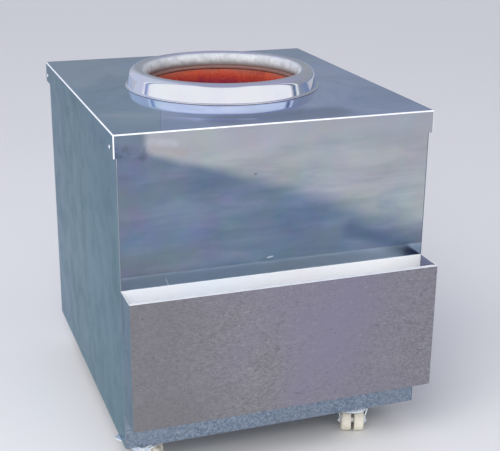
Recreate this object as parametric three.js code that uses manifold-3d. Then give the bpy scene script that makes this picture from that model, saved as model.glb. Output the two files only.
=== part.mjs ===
// Clay tandoor oven: an urn-shaped clay pot, packed in mineral wool inside a stainless cabinet
// with a polished mouth ring, an open-topped box across the front and four twin-wheel casters.
//
// Millimetres, +Z up, front facing -Y, floor at z = 0. The parts are laid out around the middle
// of the cabinet, and the finished group is then moved so that the origin lies on the floor
// under the middle of the whole footprint.

import * as THREE from 'three';
import { mergeVertices } from 'three/addons/utils/BufferGeometryUtils.js';
import Module from 'manifold-3d';

const wasm = await Module();
wasm.setup();

// ---------------------------------------------------------------- driving dimensions

// Fits
const FIT = 0.3;                    // between faces that touch
const RUNNING_FIT = 0.5;            // around sliding and turning pieces
const POT_CLEARANCE = 1;            // between the pot and the wool around it

// Cabinet
const BODY_WIDTH = 813;
const BODY_DEPTH = 914;
const BODY_HEIGHT = 828;            // bottom edge of the panels to the top of the cover
const SHEET = 1.5;                  // stainless and galvanised panels
const COVER_OVERHANG = 8;
const COVER_FLANGE = 58;
const COVER_HOLE_CLEARANCE = 7;     // around the pot's rim
const LOWER_FRONT_HEIGHT = 210;     // galvanised strip behind and below the front box

// Welded angle frame
const BASE_ANGLE = 40;
const BASE_ANGLE_WALL = 4;
const UPRIGHT_ANGLE = 30;
const UPRIGHT_WALL = 3;
const TOP_ANGLE = 25;
const TOP_ANGLE_WALL = 3;
const CASTER_RAIL_WIDTH = 116;
const BASE_PLATE_THICKNESS = 2;

// Front box
const BOX_PROJECTION = 91;
const BOX_HEIGHT = 340;
const BOX_BOTTOM = 97;              // above the bottom edge of the panels
const BOX_LIP = 12;

// Mouth ring: a rolled tube that flares into a flat flange
const RING_TUBE_RADIUS = 24;
const RING_TUBE_OVER_MOUTH = 29.5;  // from the pot's mouth out to the middle of the tube
const RING_FLANGE_OVER_TUBE = 34.5; // from the middle of the tube out to the flange's edge
const RING_SIDE_LEAN = Math.PI / 18; // of the outer side, which spreads towards its foot
const RING_FOOT_BEND = 4;           // between the outer side and the flange
const RING_CREST_HEIGHT = 50;       // above the cover
const RING_SHEET = 2;
const RING_INNER_EDGE_HEIGHT = 6;   // of the inner edge, above the cover
const RING_ARC_STEPS = 10;
const RING_SEGMENTS = 40;

// Clay pot
const POT_MOUTH_RADIUS = 205;
const POT_RIM_WALL = 30;
const POT_WALL = 40;
const POT_BELLY_RADIUS = 345;
const POT_FOOT_RADIUS = 286;
const POT_RIM_ABOVE_COVER = 1;
const POT_SEGMENTS = 36;
const POT_PROFILE_STEPS = 10;
const SEAL_OVERLAP = 4;             // of the seal inside the pot's outer edge
const HEARTH_SIZE = 640;
const HEARTH_THICKNESS = 40;
const WOOL_GAP = 5;                 // from the wool to the frame and under the cover

// Charcoal grate
const GRATE_CLEARANCE = 9;              // so that the grate can be lifted out through the mouth
const GRATE_RIM = 18;
const GRATE_THICKNESS = 12;
const GRATE_BAR = 12;
const GRATE_BAR_COUNT = 7;
const GRATE_LEG = 18;
const GRATE_LEG_HEIGHT = 125;

// Air duct and sliding damper on the right side
const DUCT_WIDTH = 150;
const DUCT_HEIGHT = 110;
const DUCT_WALL = 2;
const DUCT_INSIDE_BELLY = 95;       // of the inner end, within the pot's widest radius
const DUCT_ABOVE_HEARTH = 6;
const DOOR_THICKNESS = 2.5;
const DOOR_OVERLAP = 15;            // of the door over the opening, on each side
const DOOR_TRAVEL = 165;
const GUIDE_SHEET = 1.5;
const GUIDE_FLANGE = 14;
const GUIDE_LIP = 9;
const GUIDE_END = 5;                // of the guides past the door, at both ends
const KNOB_RADIUS = 11;
const KNOB_LENGTH = 22;
const KNOB_STEM_RADIUS = 4;
const KNOB_STEM_LENGTH = 8;

// Screws
const SCREW_RADIUS = 2.5;
const SCREW_HEAD_RADIUS = 5;
const SCREW_HEAD_HEIGHT = 2.6;
const SCREW_SIDES = 8;
const COVER_SCREW_INSET = 34;       // from the cover's front or back edge
const COVER_SCREW_DROP = 36;        // below the cover's top
const BOX_SCREW_PITCH = 230;
const BOX_SCREW_COUNT = 4;
const BOX_SCREW_HEIGHT = 80;        // above the box's floor
const BOX_SCREW_TIP = 3;            // of the screw past the panel

// Casters
const CASTER_HEIGHT = 84;
const PLATE_LENGTH = 116;
const PLATE_WIDTH = 102;
const PLATE_THICKNESS = 4;
const PLATE_CORNER = 8;
const PLATE_HOLE_RADIUS = 4.5;
const PLATE_HOLE_EDGE = 13;         // from the hole to the plate's edges
const KINGPIN_RADIUS = 6;
const KINGPIN_HEAD_RADIUS = 10;
const KINGPIN_HEAD_HEIGHT = 2.5;
const KINGPIN_NUT_RADIUS = 10;
const KINGPIN_NUT_HEIGHT = 6;
const BEARING_RADIUS = 27;
const BEARING_BORE = 13;
const BEARING_HEIGHT = 5;
const FORK_CROWN_RADIUS = 34;       // of the flat top of the domed fork
const FORK_RIM_RADIUS = 45;
const FORK_RIM_DROP = 13;           // from the top of the fork to its rim
const FORK_SHEET = 3;
const FORK_BOSS_RADIUS = 11;
const FORK_LEG_REACH = 24;          // of each leg's root in front of and behind the kingpin
const FORK_LEG_ROOT_HEIGHT = 5;
const FORK_BEND_HEIGHT = 16;        // above the axle, where each leg bends out to the rim
const TRAIL = 20;
const WHEEL_RADIUS = 31;
const WHEEL_WIDTH = 27;
const WHEEL_SPACING = 9;            // between the two wheels
const WHEEL_SHOULDER = 7;
const WHEEL_SIDES = 20;
const WHEEL_SIDE_GAP = 1;           // from a wheel to the fork's leg and to the spacer
const AXLE_RADIUS = 5;
const AXLE_SPACER_RADIUS = 9;
const AXLE_HEAD_RADIUS = 8;
const AXLE_HEAD_HEIGHT = 4;

// Where each caster is fixed, and how far its plate and its fork are turned, in degrees
const LEFT_RAIL_X = -346;
const RIGHT_RAIL_X = 254;
const FRONT_CASTER_Y = -394;
const REAR_CASTER_Y = 394;
const CASTERS = [
  { name: 'front_left', x: LEFT_RAIL_X, y: FRONT_CASTER_Y, plateTurn: 35, forkTurn: -20 },
  { name: 'front_right', x: RIGHT_RAIL_X, y: FRONT_CASTER_Y, plateTurn: 0, forkTurn: 250 },
  { name: 'rear_left', x: LEFT_RAIL_X, y: REAR_CASTER_Y, plateTurn: 0, forkTurn: 25 },
  { name: 'rear_right', x: RIGHT_RAIL_X, y: REAR_CASTER_Y, plateTurn: 0, forkTurn: 150 },
];

// ---------------------------------------------------------------- heights and faces

const halfWidth = BODY_WIDTH / 2;
const halfDepth = BODY_DEPTH / 2;
const bodyBottom = CASTER_HEIGHT + FIT;
const coverTop = bodyBottom + BODY_HEIGHT;
const panelTop = coverTop - SHEET - FIT;
const frameHalfWidth = halfWidth - SHEET - FIT;
const frameHalfDepth = halfDepth - SHEET - FIT;
const basePlateBottom = bodyBottom + BASE_ANGLE_WALL + FIT;
const basePlateTop = basePlateBottom + BASE_PLATE_THICKNESS;
const hearthBottom = basePlateTop + FIT;
const hearthTop = hearthBottom + HEARTH_THICKNESS;
const potBottom = hearthTop + FIT;
const potTop = coverTop + POT_RIM_ABOVE_COVER;
const potRimRadius = POT_MOUTH_RADIUS + POT_RIM_WALL;
const coverHoleRadius = potRimRadius + COVER_HOLE_CLEARANCE;
const ringPitchRadius = POT_MOUTH_RADIUS + RING_TUBE_OVER_MOUTH;
const ringFlangeRadius = ringPitchRadius + RING_FLANGE_OVER_TUBE;
const ductInnerEnd = POT_BELLY_RADIUS - DUCT_INSIDE_BELLY;
const ductBottom = hearthTop + DUCT_ABOVE_HEARTH;
const ductTop = ductBottom + DUCT_HEIGHT;
const boxBottom = bodyBottom + BOX_BOTTOM;
const boxTop = boxBottom + BOX_HEIGHT;
const boxBack = -halfDepth - FIT;
const boxFront = -halfDepth - BOX_PROJECTION;

// ---------------------------------------------------------------- materials

function metal(color, roughness) {
  return new THREE.MeshStandardMaterial({ color, roughness, metalness: 1 });
}

function plain(color, roughness) {
  return new THREE.MeshStandardMaterial({ color, roughness, metalness: 0 });
}

const cabinetSteel = () => metal(0x8f9fac, 0.25);
const ringSteel = () => metal(0xd8dde6, 0.1);
const boxSteel = () => metal(0x86848c, 0.45);
const galvanised = () => metal(0x8095a8, 0.5);
const zincPlate = () => metal(0xc4ccd2, 0.35);
const screwSteel = () => metal(0xb0b6bc, 0.3);
const frameSteel = () => plain(0x3a3d40, 0.6);
const clay = () => plain(0xa4482f, 0.9);
const fireBrick = () => plain(0xb09a80, 0.95);
const mineralWool = () => plain(0xb7a878, 1);
const sealRope = () => plain(0xc9c6bd, 0.95);
const castIron = () => plain(0x2c2b2a, 0.7);
const nylon = () => plain(0xe6dfcf, 0.55);
const blackKnob = () => plain(0x1c1c1e, 0.45);

// ---------------------------------------------------------------- solids

function facesOut(position, index) {
  let sixVolumes = 0;
  const a = new THREE.Vector3();
  const b = new THREE.Vector3();
  const c = new THREE.Vector3();
  for (let i = 0; i < index.length; i += 3) {
    a.fromArray(position, 3 * index[i]);
    b.fromArray(position, 3 * index[i + 1]);
    c.fromArray(position, 3 * index[i + 2]);
    sixVolumes += a.dot(b.cross(c));
  }
  return sixVolumes > 0;
}

// Points go onto a fine grid, so that faces meant to be flush are flush to the last digit.
const GRID_POINTS_PER_MM = 1024;

function solid(geometry) {
  const bare = geometry.clone();
  bare.deleteAttribute('normal');
  bare.deleteAttribute('uv');
  const points = bare.attributes.position.array;
  for (let i = 0; i < points.length; i += 1) {
    points[i] = Math.round(points[i] * GRID_POINTS_PER_MM) / GRID_POINTS_PER_MM;
  }
  const merged = mergeVertices(bare, 1e-4);
  const position = merged.attributes.position.array;
  const all = merged.index.array;
  const kept = [];
  for (let i = 0; i < all.length; i += 3) {
    const [a, b, c] = [all[i], all[i + 1], all[i + 2]];
    if (a !== b && b !== c && c !== a) kept.push(a, b, c);
  }
  if (!facesOut(position, kept)) kept.reverse();
  const vertProperties = Float32Array.from(position);
  const triVerts = Uint32Array.from(kept);
  return new wasm.Manifold(new wasm.Mesh({ numProp: 3, vertProperties, triVerts }));
}

function geometryOf(piece) {
  const mesh = piece.getMesh();
  const geometry = new THREE.BufferGeometry();
  geometry.setAttribute('position', new THREE.BufferAttribute(mesh.vertProperties, 3));
  geometry.setIndex(new THREE.BufferAttribute(mesh.triVerts, 1));
  geometry.computeVertexNormals();
  return geometry;
}

function join(pieces) {
  return pieces.reduce((whole, piece) => whole.add(piece));
}

function cut(piece, tools) {
  return tools.reduce((rest, tool) => rest.subtract(tool), piece);
}

function block(x0, x1, y0, y1, z0, z1) {
  const box = new THREE.BoxGeometry(x1 - x0, y1 - y0, z1 - z0);
  return solid(box.translate((x0 + x1) / 2, (y0 + y1) / 2, (z0 + z1) / 2));
}

// A block centred on the cabinet's middle in plan.
function centredBlock(halfX, halfY, z0, z1) {
  return block(-halfX, halfX, -halfY, halfY, z0, z1);
}

// A body turned about +Z from [radius, height] points. A ring's outline is closed for it.
function turned(points, segments, phase = 0) {
  const outline = points.map(([radius, height]) => new THREE.Vector2(radius, height));
  const onAxis = points[0][0] === 0;
  if (!onAxis) outline.push(outline[0].clone());
  const lathe = new THREE.LatheGeometry(outline, segments, phase);
  return solid(lathe.rotateX(Math.PI / 2));
}

function upright(radius, z0, z1, segments) {
  const cylinder = new THREE.CylinderGeometry(radius, radius, z1 - z0, segments);
  return solid(cylinder.rotateX(Math.PI / 2).translate(0, 0, (z0 + z1) / 2));
}

// A cylinder along X.
function rodAlongX(radius, x0, x1, segments) {
  const cylinder = new THREE.CylinderGeometry(radius, radius, x1 - x0, segments);
  return solid(cylinder.rotateZ(Math.PI / 2).translate((x0 + x1) / 2, 0, 0));
}

// A cylinder along Y.
function rodAlongY(radius, y0, y1, segments) {
  const cylinder = new THREE.CylinderGeometry(radius, radius, y1 - y0, segments);
  return solid(cylinder.translate(0, (y0 + y1) / 2, 0));
}

function extruded(shape, depth, curveSegments = 6) {
  return new THREE.ExtrudeGeometry(shape, { depth, bevelEnabled: false, curveSegments });
}

const assembly = new THREE.Group();

function add(parent, name, material, piece) {
  const mesh = new THREE.Mesh(geometryOf(piece), material);
  mesh.name = name;
  parent.add(mesh);
  return mesh;
}

// ---------------------------------------------------------------- welded frame and base

// A rectangular ring of angle iron. The flat leg lies at the foot of the ring or at its head.
function angleRing(size, wall, z0, z1, flatAtFoot) {
  const outer = centredBlock(frameHalfWidth, frameHalfDepth, z0, z1);
  const inner = centredBlock(frameHalfWidth - wall, frameHalfDepth - wall, z0 - 1, z1 + 1);
  const flatFrom = flatAtFoot ? z0 : z1 - wall;
  const flatOuter = centredBlock(frameHalfWidth, frameHalfDepth, flatFrom, flatFrom + wall);
  const flatInner = centredBlock(
    frameHalfWidth - size, frameHalfDepth - size, flatFrom - 1, flatFrom + wall + 1,
  );
  return cut(outer, [inner]).add(cut(flatOuter, [flatInner]));
}

function frameUpright(sideX, sideY) {
  const legAlongX = block(
    frameHalfWidth - UPRIGHT_ANGLE, frameHalfWidth,
    frameHalfDepth - UPRIGHT_WALL, frameHalfDepth, bodyBottom, panelTop,
  );
  const legAlongY = block(
    frameHalfWidth - UPRIGHT_WALL, frameHalfWidth,
    frameHalfDepth - UPRIGHT_ANGLE, frameHalfDepth, bodyBottom, panelTop,
  );
  return legAlongX.add(legAlongY).scale([sideX, sideY, 1]);
}

function casterRail(x) {
  const x0 = Math.max(x - CASTER_RAIL_WIDTH / 2, -frameHalfWidth);
  const x1 = Math.min(x + CASTER_RAIL_WIDTH / 2, frameHalfWidth);
  return block(x0, x1, -frameHalfDepth, frameHalfDepth, bodyBottom, bodyBottom + BASE_ANGLE_WALL);
}

function addFrame() {
  const bars = [
    angleRing(BASE_ANGLE, BASE_ANGLE_WALL, bodyBottom, bodyBottom + BASE_ANGLE, true),
    angleRing(TOP_ANGLE, TOP_ANGLE_WALL, panelTop - TOP_ANGLE, panelTop, false),
    casterRail(LEFT_RAIL_X),
    casterRail(RIGHT_RAIL_X),
  ];
  for (const sideX of [-1, 1]) {
    for (const sideY of [-1, 1]) bars.push(frameUpright(sideX, sideY));
  }
  add(assembly, 'body_frame', frameSteel(), join(bars));

  const halfX = frameHalfWidth - BASE_ANGLE_WALL - FIT;
  const halfY = frameHalfDepth - BASE_ANGLE_WALL - FIT;
  add(assembly, 'base_plate', galvanised(), centredBlock(halfX, halfY, basePlateBottom, basePlateTop));
}

// ---------------------------------------------------------------- cabinet panels

function coverScrewPlaces() {
  const y = halfDepth + COVER_OVERHANG - COVER_SCREW_INSET;
  const places = [];
  for (const [end, sideY] of [['front', -1], ['rear', 1]]) {
    for (const [side, sideX] of [['left', -1], ['right', 1]]) {
      places.push({ name: `cover_screw_${end}_${side}`, sideX, y: sideY * y });
    }
  }
  return places;
}

const coverScrewHeight = coverTop - COVER_SCREW_DROP;

function coverScrewHoles() {
  const reach = halfWidth + COVER_OVERHANG + 1;
  return coverScrewPlaces().map(({ y }) => (
    rodAlongX(SCREW_RADIUS + FIT, -reach, reach, SCREW_SIDES).translate([0, y, coverScrewHeight])
  ));
}

function boxScrewPlaces() {
  const places = [];
  for (let i = 0; i < BOX_SCREW_COUNT; i += 1) {
    places.push((i - (BOX_SCREW_COUNT - 1) / 2) * BOX_SCREW_PITCH);
  }
  return places;
}

const boxScrewHeight = boxBottom + BOX_SCREW_HEIGHT;

function boxScrewHoles() {
  return boxScrewPlaces().map((x) => (
    rodAlongY(SCREW_RADIUS + FIT, boxBack - SHEET - 1, -halfDepth + SHEET + 1, SCREW_SIDES)
      .translate([x, 0, boxScrewHeight])
  ));
}

function addPanels() {
  const holes = coverScrewHoles();
  const leftPanel = block(-halfWidth, -halfWidth + SHEET, -halfDepth, halfDepth, bodyBottom, panelTop);
  add(assembly, 'left_panel', cabinetSteel(), cut(leftPanel, holes));

  const rightPanel = block(halfWidth - SHEET, halfWidth, -halfDepth, halfDepth, bodyBottom, panelTop);
  const opening = block(
    halfWidth - SHEET - 1, halfWidth + 1,
    -DUCT_WIDTH / 2 + DUCT_WALL, DUCT_WIDTH / 2 - DUCT_WALL,
    ductBottom + DUCT_WALL, ductTop - DUCT_WALL,
  );
  add(assembly, 'right_panel', cabinetSteel(), cut(rightPanel, [...holes, opening]));

  const betweenSides = halfWidth - SHEET - FIT;
  add(assembly, 'back_panel', cabinetSteel(), block(
    -betweenSides, betweenSides, halfDepth - SHEET, halfDepth, bodyBottom, panelTop,
  ));
  const split = bodyBottom + LOWER_FRONT_HEIGHT;
  add(assembly, 'front_panel', cabinetSteel(), block(
    -betweenSides, betweenSides, -halfDepth, -halfDepth + SHEET, split + FIT, panelTop,
  ));
  const lowerFront = block(
    -betweenSides, betweenSides, -halfDepth, -halfDepth + SHEET, bodyBottom, split,
  );
  add(assembly, 'lower_front_panel', galvanised(), cut(lowerFront, boxScrewHoles()));
}

function addCover() {
  const outerX = halfWidth + COVER_OVERHANG;
  const outerY = halfDepth + COVER_OVERHANG;
  const flangeBottom = coverTop - COVER_FLANGE;
  const shell = centredBlock(outerX, outerY, flangeBottom, coverTop);
  const hollow = centredBlock(outerX - SHEET, outerY - SHEET, flangeBottom - 1, coverTop - SHEET);
  const hole = upright(coverHoleRadius, coverTop - SHEET - 1, coverTop + 1, RING_SEGMENTS);
  const cover = cut(shell, [hollow, hole, ...coverScrewHoles()]);
  add(assembly, 'top_cover', cabinetSteel(), cover);

  for (const { name, sideX, y } of coverScrewPlaces()) {
    const headFrom = outerX + FIT;
    const tip = halfWidth - SHEET;
    const shank = rodAlongX(SCREW_RADIUS, tip, headFrom + 1, SCREW_SIDES);
    const head = rodAlongX(SCREW_HEAD_RADIUS, headFrom, headFrom + SCREW_HEAD_HEIGHT, SCREW_SIDES);
    const screw = shank.add(head).scale([sideX, 1, 1]).translate([0, y, coverScrewHeight]);
    add(assembly, name, screwSteel(), screw);
  }
}

// ---------------------------------------------------------------- front box

function addFrontBox() {
  const outer = block(-halfWidth, halfWidth, boxFront, boxBack, boxBottom, boxTop);
  const inner = block(
    -halfWidth + SHEET, halfWidth - SHEET, boxFront + SHEET, boxBack - SHEET,
    boxBottom + SHEET, boxTop + 1,
  );
  const lip = block(
    -halfWidth + SHEET / 2, halfWidth - SHEET / 2, boxFront + SHEET / 2, boxFront + BOX_LIP,
    boxTop - SHEET, boxTop,
  );
  const box = cut(cut(outer, [inner]).add(lip), boxScrewHoles());
  add(assembly, 'front_box', boxSteel(), box);

  boxScrewPlaces().forEach((x, i) => {
    const headTo = boxBack - SHEET - FIT;
    const shank = rodAlongY(SCREW_RADIUS, headTo - 1, -halfDepth + SHEET + BOX_SCREW_TIP, SCREW_SIDES);
    const head = rodAlongY(SCREW_HEAD_RADIUS, headTo - SCREW_HEAD_HEIGHT, headTo, SCREW_SIDES);
    const screw = shank.add(head).translate([x, 0, boxScrewHeight]);
    add(assembly, `box_screw_${i + 1}`, screwSteel(), screw);
  });
}

// ---------------------------------------------------------------- clay pot and what is round it

// Radius of the pot's outside at each height, from its foot to its rim.
function potOutside() {
  const height = potTop - potBottom;
  const curve = new THREE.SplineCurve([
    new THREE.Vector2(POT_FOOT_RADIUS, 0),
    new THREE.Vector2((POT_FOOT_RADIUS + 2 * POT_BELLY_RADIUS) / 3, height * 0.15),
    new THREE.Vector2(POT_BELLY_RADIUS, height * 0.36),
    new THREE.Vector2((potRimRadius + 2 * POT_BELLY_RADIUS) / 3, height * 0.64),
    new THREE.Vector2((6 * potRimRadius + POT_BELLY_RADIUS) / 7, height * 0.88),
    new THREE.Vector2(potRimRadius, height * 0.95),
    new THREE.Vector2(potRimRadius, height),
  ]);
  return curve.getSpacedPoints(POT_PROFILE_STEPS).map((point) => [point.x, potBottom + point.y]);
}

// The wall thins from its full thickness at the foot to the rim's own.
function potInside(outside) {
  const height = potTop - potBottom;
  return outside.map(([radius, z]) => {
    const towardsRim = Math.max(0, (z - potBottom) / height - 0.5) * 2;
    return [radius - POT_WALL + towardsRim * (POT_WALL - POT_RIM_WALL), z];
  });
}

function ductBlock(grow, x0, x1) {
  return block(
    x0, x1, -DUCT_WIDTH / 2 - grow, DUCT_WIDTH / 2 + grow, ductBottom - grow, ductTop + grow,
  );
}

function addPot() {
  const outside = potOutside();
  const inside = potInside(outside);
  const pot = turned([...outside, ...inside.reverse()], POT_SEGMENTS);
  const ductHole = ductBlock(POT_CLEARANCE, ductInnerEnd - POT_WALL, halfWidth);
  add(assembly, 'clay_pot', clay(), cut(pot, [ductHole]));

  const sealOuter = potRimRadius - SEAL_OVERLAP;
  const sealTop = coverTop + RING_INNER_EDGE_HEIGHT - FIT;
  const seal = turned([
    [POT_MOUTH_RADIUS + 1, potTop + FIT], [sealOuter, potTop + FIT],
    [sealOuter, sealTop], [POT_MOUTH_RADIUS + 1, sealTop],
  ], RING_SEGMENTS);
  add(assembly, 'rim_seal', sealRope(), seal);

  const hearthHalf = HEARTH_SIZE / 2;
  add(assembly, 'hearth_slab', fireBrick(), centredBlock(hearthHalf, hearthHalf, hearthBottom, hearthTop));

  const woolTop = panelTop - TOP_ANGLE_WALL - WOOL_GAP;
  const woolHalfX = frameHalfWidth - BASE_ANGLE_WALL - WOOL_GAP;
  const woolHalfY = frameHalfDepth - BASE_ANGLE_WALL - WOOL_GAP;
  const wool = centredBlock(woolHalfX, woolHalfY, basePlateTop + FIT, woolTop);
  const around = outside.map(([radius, z]) => [radius + POT_CLEARANCE, z]);
  const potSpace = turned([[0, hearthTop - 1], [around[0][0], hearthTop - 1], ...around, [0, potTop]],
    POT_SEGMENTS);
  const hearthSpace = centredBlock(hearthHalf + FIT, hearthHalf + FIT, basePlateTop, hearthTop + FIT);
  const ductSpace = ductBlock(FIT, ductInnerEnd, halfWidth);
  add(assembly, 'insulation_fill', mineralWool(), cut(wool, [potSpace, hearthSpace, ductSpace]));
}

// ---------------------------------------------------------------- mouth ring

function addMouthRing() {
  const centreHeight = RING_CREST_HEIGHT - RING_TUBE_RADIUS;
  const innerTube = RING_TUBE_RADIUS - RING_SHEET;
  const to = Math.PI * 1.25;
  const arc = (radius) => {
    const points = [];
    for (let i = 0; i <= RING_ARC_STEPS; i += 1) {
      const angle = RING_SIDE_LEAN + (to - RING_SIDE_LEAN) * (i / RING_ARC_STEPS);
      points.push([
        ringPitchRadius + radius * Math.cos(angle), centreHeight + radius * Math.sin(angle),
      ]);
    }
    return points;
  };
  const outerArc = arc(RING_TUBE_RADIUS);
  const innerArc = arc(innerTube).reverse();
  const [sideRadius, sideHeight] = outerArc[0];
  const [lowRadius] = outerArc[outerArc.length - 1];
  const sideAt = (height) => sideRadius + (sideHeight - height) * Math.tan(RING_SIDE_LEAN);
  const foot = FIT + RING_SHEET;
  const midBend = RING_FOOT_BEND * (1 - Math.SQRT1_2);
  const midSheet = RING_SHEET * Math.SQRT1_2;
  const sideSheet = RING_SHEET / Math.cos(RING_SIDE_LEAN);
  const profile = [
    [ringFlangeRadius, FIT],
    [ringFlangeRadius, foot],
    [sideAt(foot) + RING_FOOT_BEND, foot],
    [sideAt(foot) + midBend, foot + midBend],
    [sideAt(foot + RING_FOOT_BEND), foot + RING_FOOT_BEND],
    ...outerArc,
    [lowRadius - 1, RING_INNER_EDGE_HEIGHT],
    [lowRadius - 1 + RING_SHEET, RING_INNER_EDGE_HEIGHT],
    ...innerArc,
    [sideAt(foot + RING_FOOT_BEND) - sideSheet, foot + RING_FOOT_BEND],
    [sideAt(foot) + midBend - midSheet, foot + midBend - midSheet],
    [sideAt(foot) + RING_FOOT_BEND, FIT],
  ].map(([radius, height]) => [radius, coverTop + height]);
  add(assembly, 'mouth_ring', ringSteel(), turned(profile, RING_SEGMENTS));
}

// ---------------------------------------------------------------- charcoal grate

function addGrate() {
  const bottom = potBottom + GRATE_LEG_HEIGHT;
  const top = bottom + GRATE_THICKNESS;
  const grateRadius = POT_MOUTH_RADIUS - GRATE_CLEARANCE;
  const rim = turned([
    [grateRadius - GRATE_RIM, bottom], [grateRadius, bottom],
    [grateRadius, top], [grateRadius - GRATE_RIM, top],
  ], RING_SEGMENTS / 2);
  const pieces = [rim];
  const middleRim = grateRadius - GRATE_RIM / 2;
  const barPitch = (2 * middleRim) / (GRATE_BAR_COUNT + 1);
  for (let i = 0; i < GRATE_BAR_COUNT; i += 1) {
    const x = (i - (GRATE_BAR_COUNT - 1) / 2) * barPitch;
    const reach = Math.sqrt(middleRim ** 2 - (Math.abs(x) + GRATE_BAR / 2) ** 2);
    pieces.push(block(x - GRATE_BAR / 2, x + GRATE_BAR / 2, -reach, reach, bottom, top));
  }
  const legHalf = GRATE_LEG / 2;
  const legOffset = middleRim * Math.SQRT1_2;
  for (const sideX of [-1, 1]) {
    for (const sideY of [-1, 1]) {
      const leg = block(-legHalf, legHalf, -legHalf, legHalf, potBottom, bottom + 1);
      pieces.push(leg.translate([sideX * legOffset, sideY * legOffset, 0]));
    }
  }
  add(assembly, 'charcoal_grate', castIron(), join(pieces));
}

// ---------------------------------------------------------------- air duct and damper

function addDuct() {
  const outer = ductBlock(0, ductInnerEnd, frameHalfWidth);
  const inner = ductBlock(-DUCT_WALL, ductInnerEnd - 1, frameHalfWidth + 1);
  add(assembly, 'air_duct', galvanised(), cut(outer, [inner]));
}

const doorHalfWidth = DUCT_WIDTH / 2 - DUCT_WALL + DOOR_OVERLAP;
const doorBottom = ductBottom + DUCT_WALL - DOOR_OVERLAP;
const doorTop = ductTop - DUCT_WALL + DOOR_OVERLAP;

// A Z-shaped strip that stands off the panel and hooks over one edge of the door.
function damperGuide() {
  const lipInner = 2 * RUNNING_FIT + DOOR_THICKNESS;
  const lipOuter = lipInner + GUIDE_SHEET;
  const section = new THREE.Shape([
    new THREE.Vector2(FIT, GUIDE_FLANGE),
    new THREE.Vector2(FIT, FIT),
    new THREE.Vector2(lipInner, FIT),
    new THREE.Vector2(lipInner, -GUIDE_LIP),
    new THREE.Vector2(lipOuter, -GUIDE_LIP),
    new THREE.Vector2(lipOuter, FIT + GUIDE_SHEET),
    new THREE.Vector2(FIT + GUIDE_SHEET, FIT + GUIDE_SHEET),
    new THREE.Vector2(FIT + GUIDE_SHEET, GUIDE_FLANGE),
  ]);
  const length = 2 * doorHalfWidth + DOOR_TRAVEL + 2 * GUIDE_END;
  const strip = solid(extruded(section, length).rotateX(Math.PI / 2));
  return strip.translate([halfWidth, length - doorHalfWidth - GUIDE_END, 0]);
}

function addDamper() {
  const guide = damperGuide();
  add(assembly, 'damper_guide_upper', zincPlate(), guide.translate([0, 0, doorTop]));
  const lower = guide.mirror([0, 0, 1]).translate([0, 0, doorBottom]);
  add(assembly, 'damper_guide_lower', zincPlate(), lower);

  const doorFace = halfWidth + RUNNING_FIT + DOOR_THICKNESS;
  const door = block(
    halfWidth + RUNNING_FIT, doorFace, -doorHalfWidth, doorHalfWidth, doorBottom, doorTop,
  );
  add(assembly, 'damper_door', zincPlate(), door);

  const stemFrom = doorFace + FIT;
  const headFrom = stemFrom + KNOB_STEM_LENGTH;
  const stem = rodAlongX(KNOB_STEM_RADIUS, stemFrom, headFrom + 1, 12);
  const head = rodAlongX(KNOB_RADIUS, headFrom, stemFrom + KNOB_LENGTH, 20);
  const knob = stem.add(head).translate([0, 0, (doorBottom + doorTop) / 2]);
  add(assembly, 'damper_knob', blackKnob(), knob);
}

// ---------------------------------------------------------------- casters

const plateBottom = CASTER_HEIGHT - PLATE_THICKNESS;
const bearingBottom = plateBottom - FIT - BEARING_HEIGHT;
const forkTop = bearingBottom - FIT;
// The tread is faceted, and one of its flats stands on the floor.
const axleHeight = WHEEL_RADIUS * Math.cos(Math.PI / WHEEL_SIDES);
const wheelInnerFace = WHEEL_SPACING / 2;
const wheelOuterFace = wheelInnerFace + WHEEL_WIDTH;
const legInnerFace = wheelOuterFace + WHEEL_SIDE_GAP;
const legOuterFace = legInnerFace + FORK_SHEET;

function casterPlate() {
  const halfLength = PLATE_LENGTH / 2;
  const halfSpan = PLATE_WIDTH / 2;
  const outline = new THREE.Shape();
  const corners = [[1, 1, 0], [-1, 1, 90], [-1, -1, 180], [1, -1, 270]];
  for (const [sideX, sideY, start] of corners) {
    const from = THREE.MathUtils.degToRad(start);
    outline.absarc(
      sideX * (halfLength - PLATE_CORNER), sideY * (halfSpan - PLATE_CORNER),
      PLATE_CORNER, from, from + Math.PI / 2, false,
    );
  }
  const blank = solid(extruded(outline, PLATE_THICKNESS, 2)).translate([0, 0, plateBottom]);
  const headSpaceFrom = CASTER_HEIGHT - 2 * FIT - KINGPIN_HEAD_HEIGHT;
  const tools = [
    upright(KINGPIN_RADIUS + FIT, plateBottom - 1, CASTER_HEIGHT + 1, 12),
    upright(KINGPIN_HEAD_RADIUS + FIT, headSpaceFrom, CASTER_HEIGHT + 1, 16),
  ];
  for (const [sideX, sideY] of corners) {
    const hole = upright(PLATE_HOLE_RADIUS, plateBottom - 1, CASTER_HEIGHT + 1, 8);
    tools.push(hole.translate([
      sideX * (halfLength - PLATE_HOLE_EDGE), sideY * (halfSpan - PLATE_HOLE_EDGE), 0,
    ]));
  }
  return cut(blank, tools);
}

function casterKingpin() {
  const headTop = CASTER_HEIGHT - FIT;
  const headBottom = headTop - KINGPIN_HEAD_HEIGHT;
  const nutTop = forkTop - FORK_SHEET - FIT;
  const nutBottom = nutTop - KINGPIN_NUT_HEIGHT;
  return join([
    upright(KINGPIN_HEAD_RADIUS, headBottom, headTop, 16),
    upright(KINGPIN_RADIUS, nutBottom + 1, headBottom + 1, 12),
    upright(KINGPIN_NUT_RADIUS, nutBottom, nutTop, 6),
  ]);
}

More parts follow.
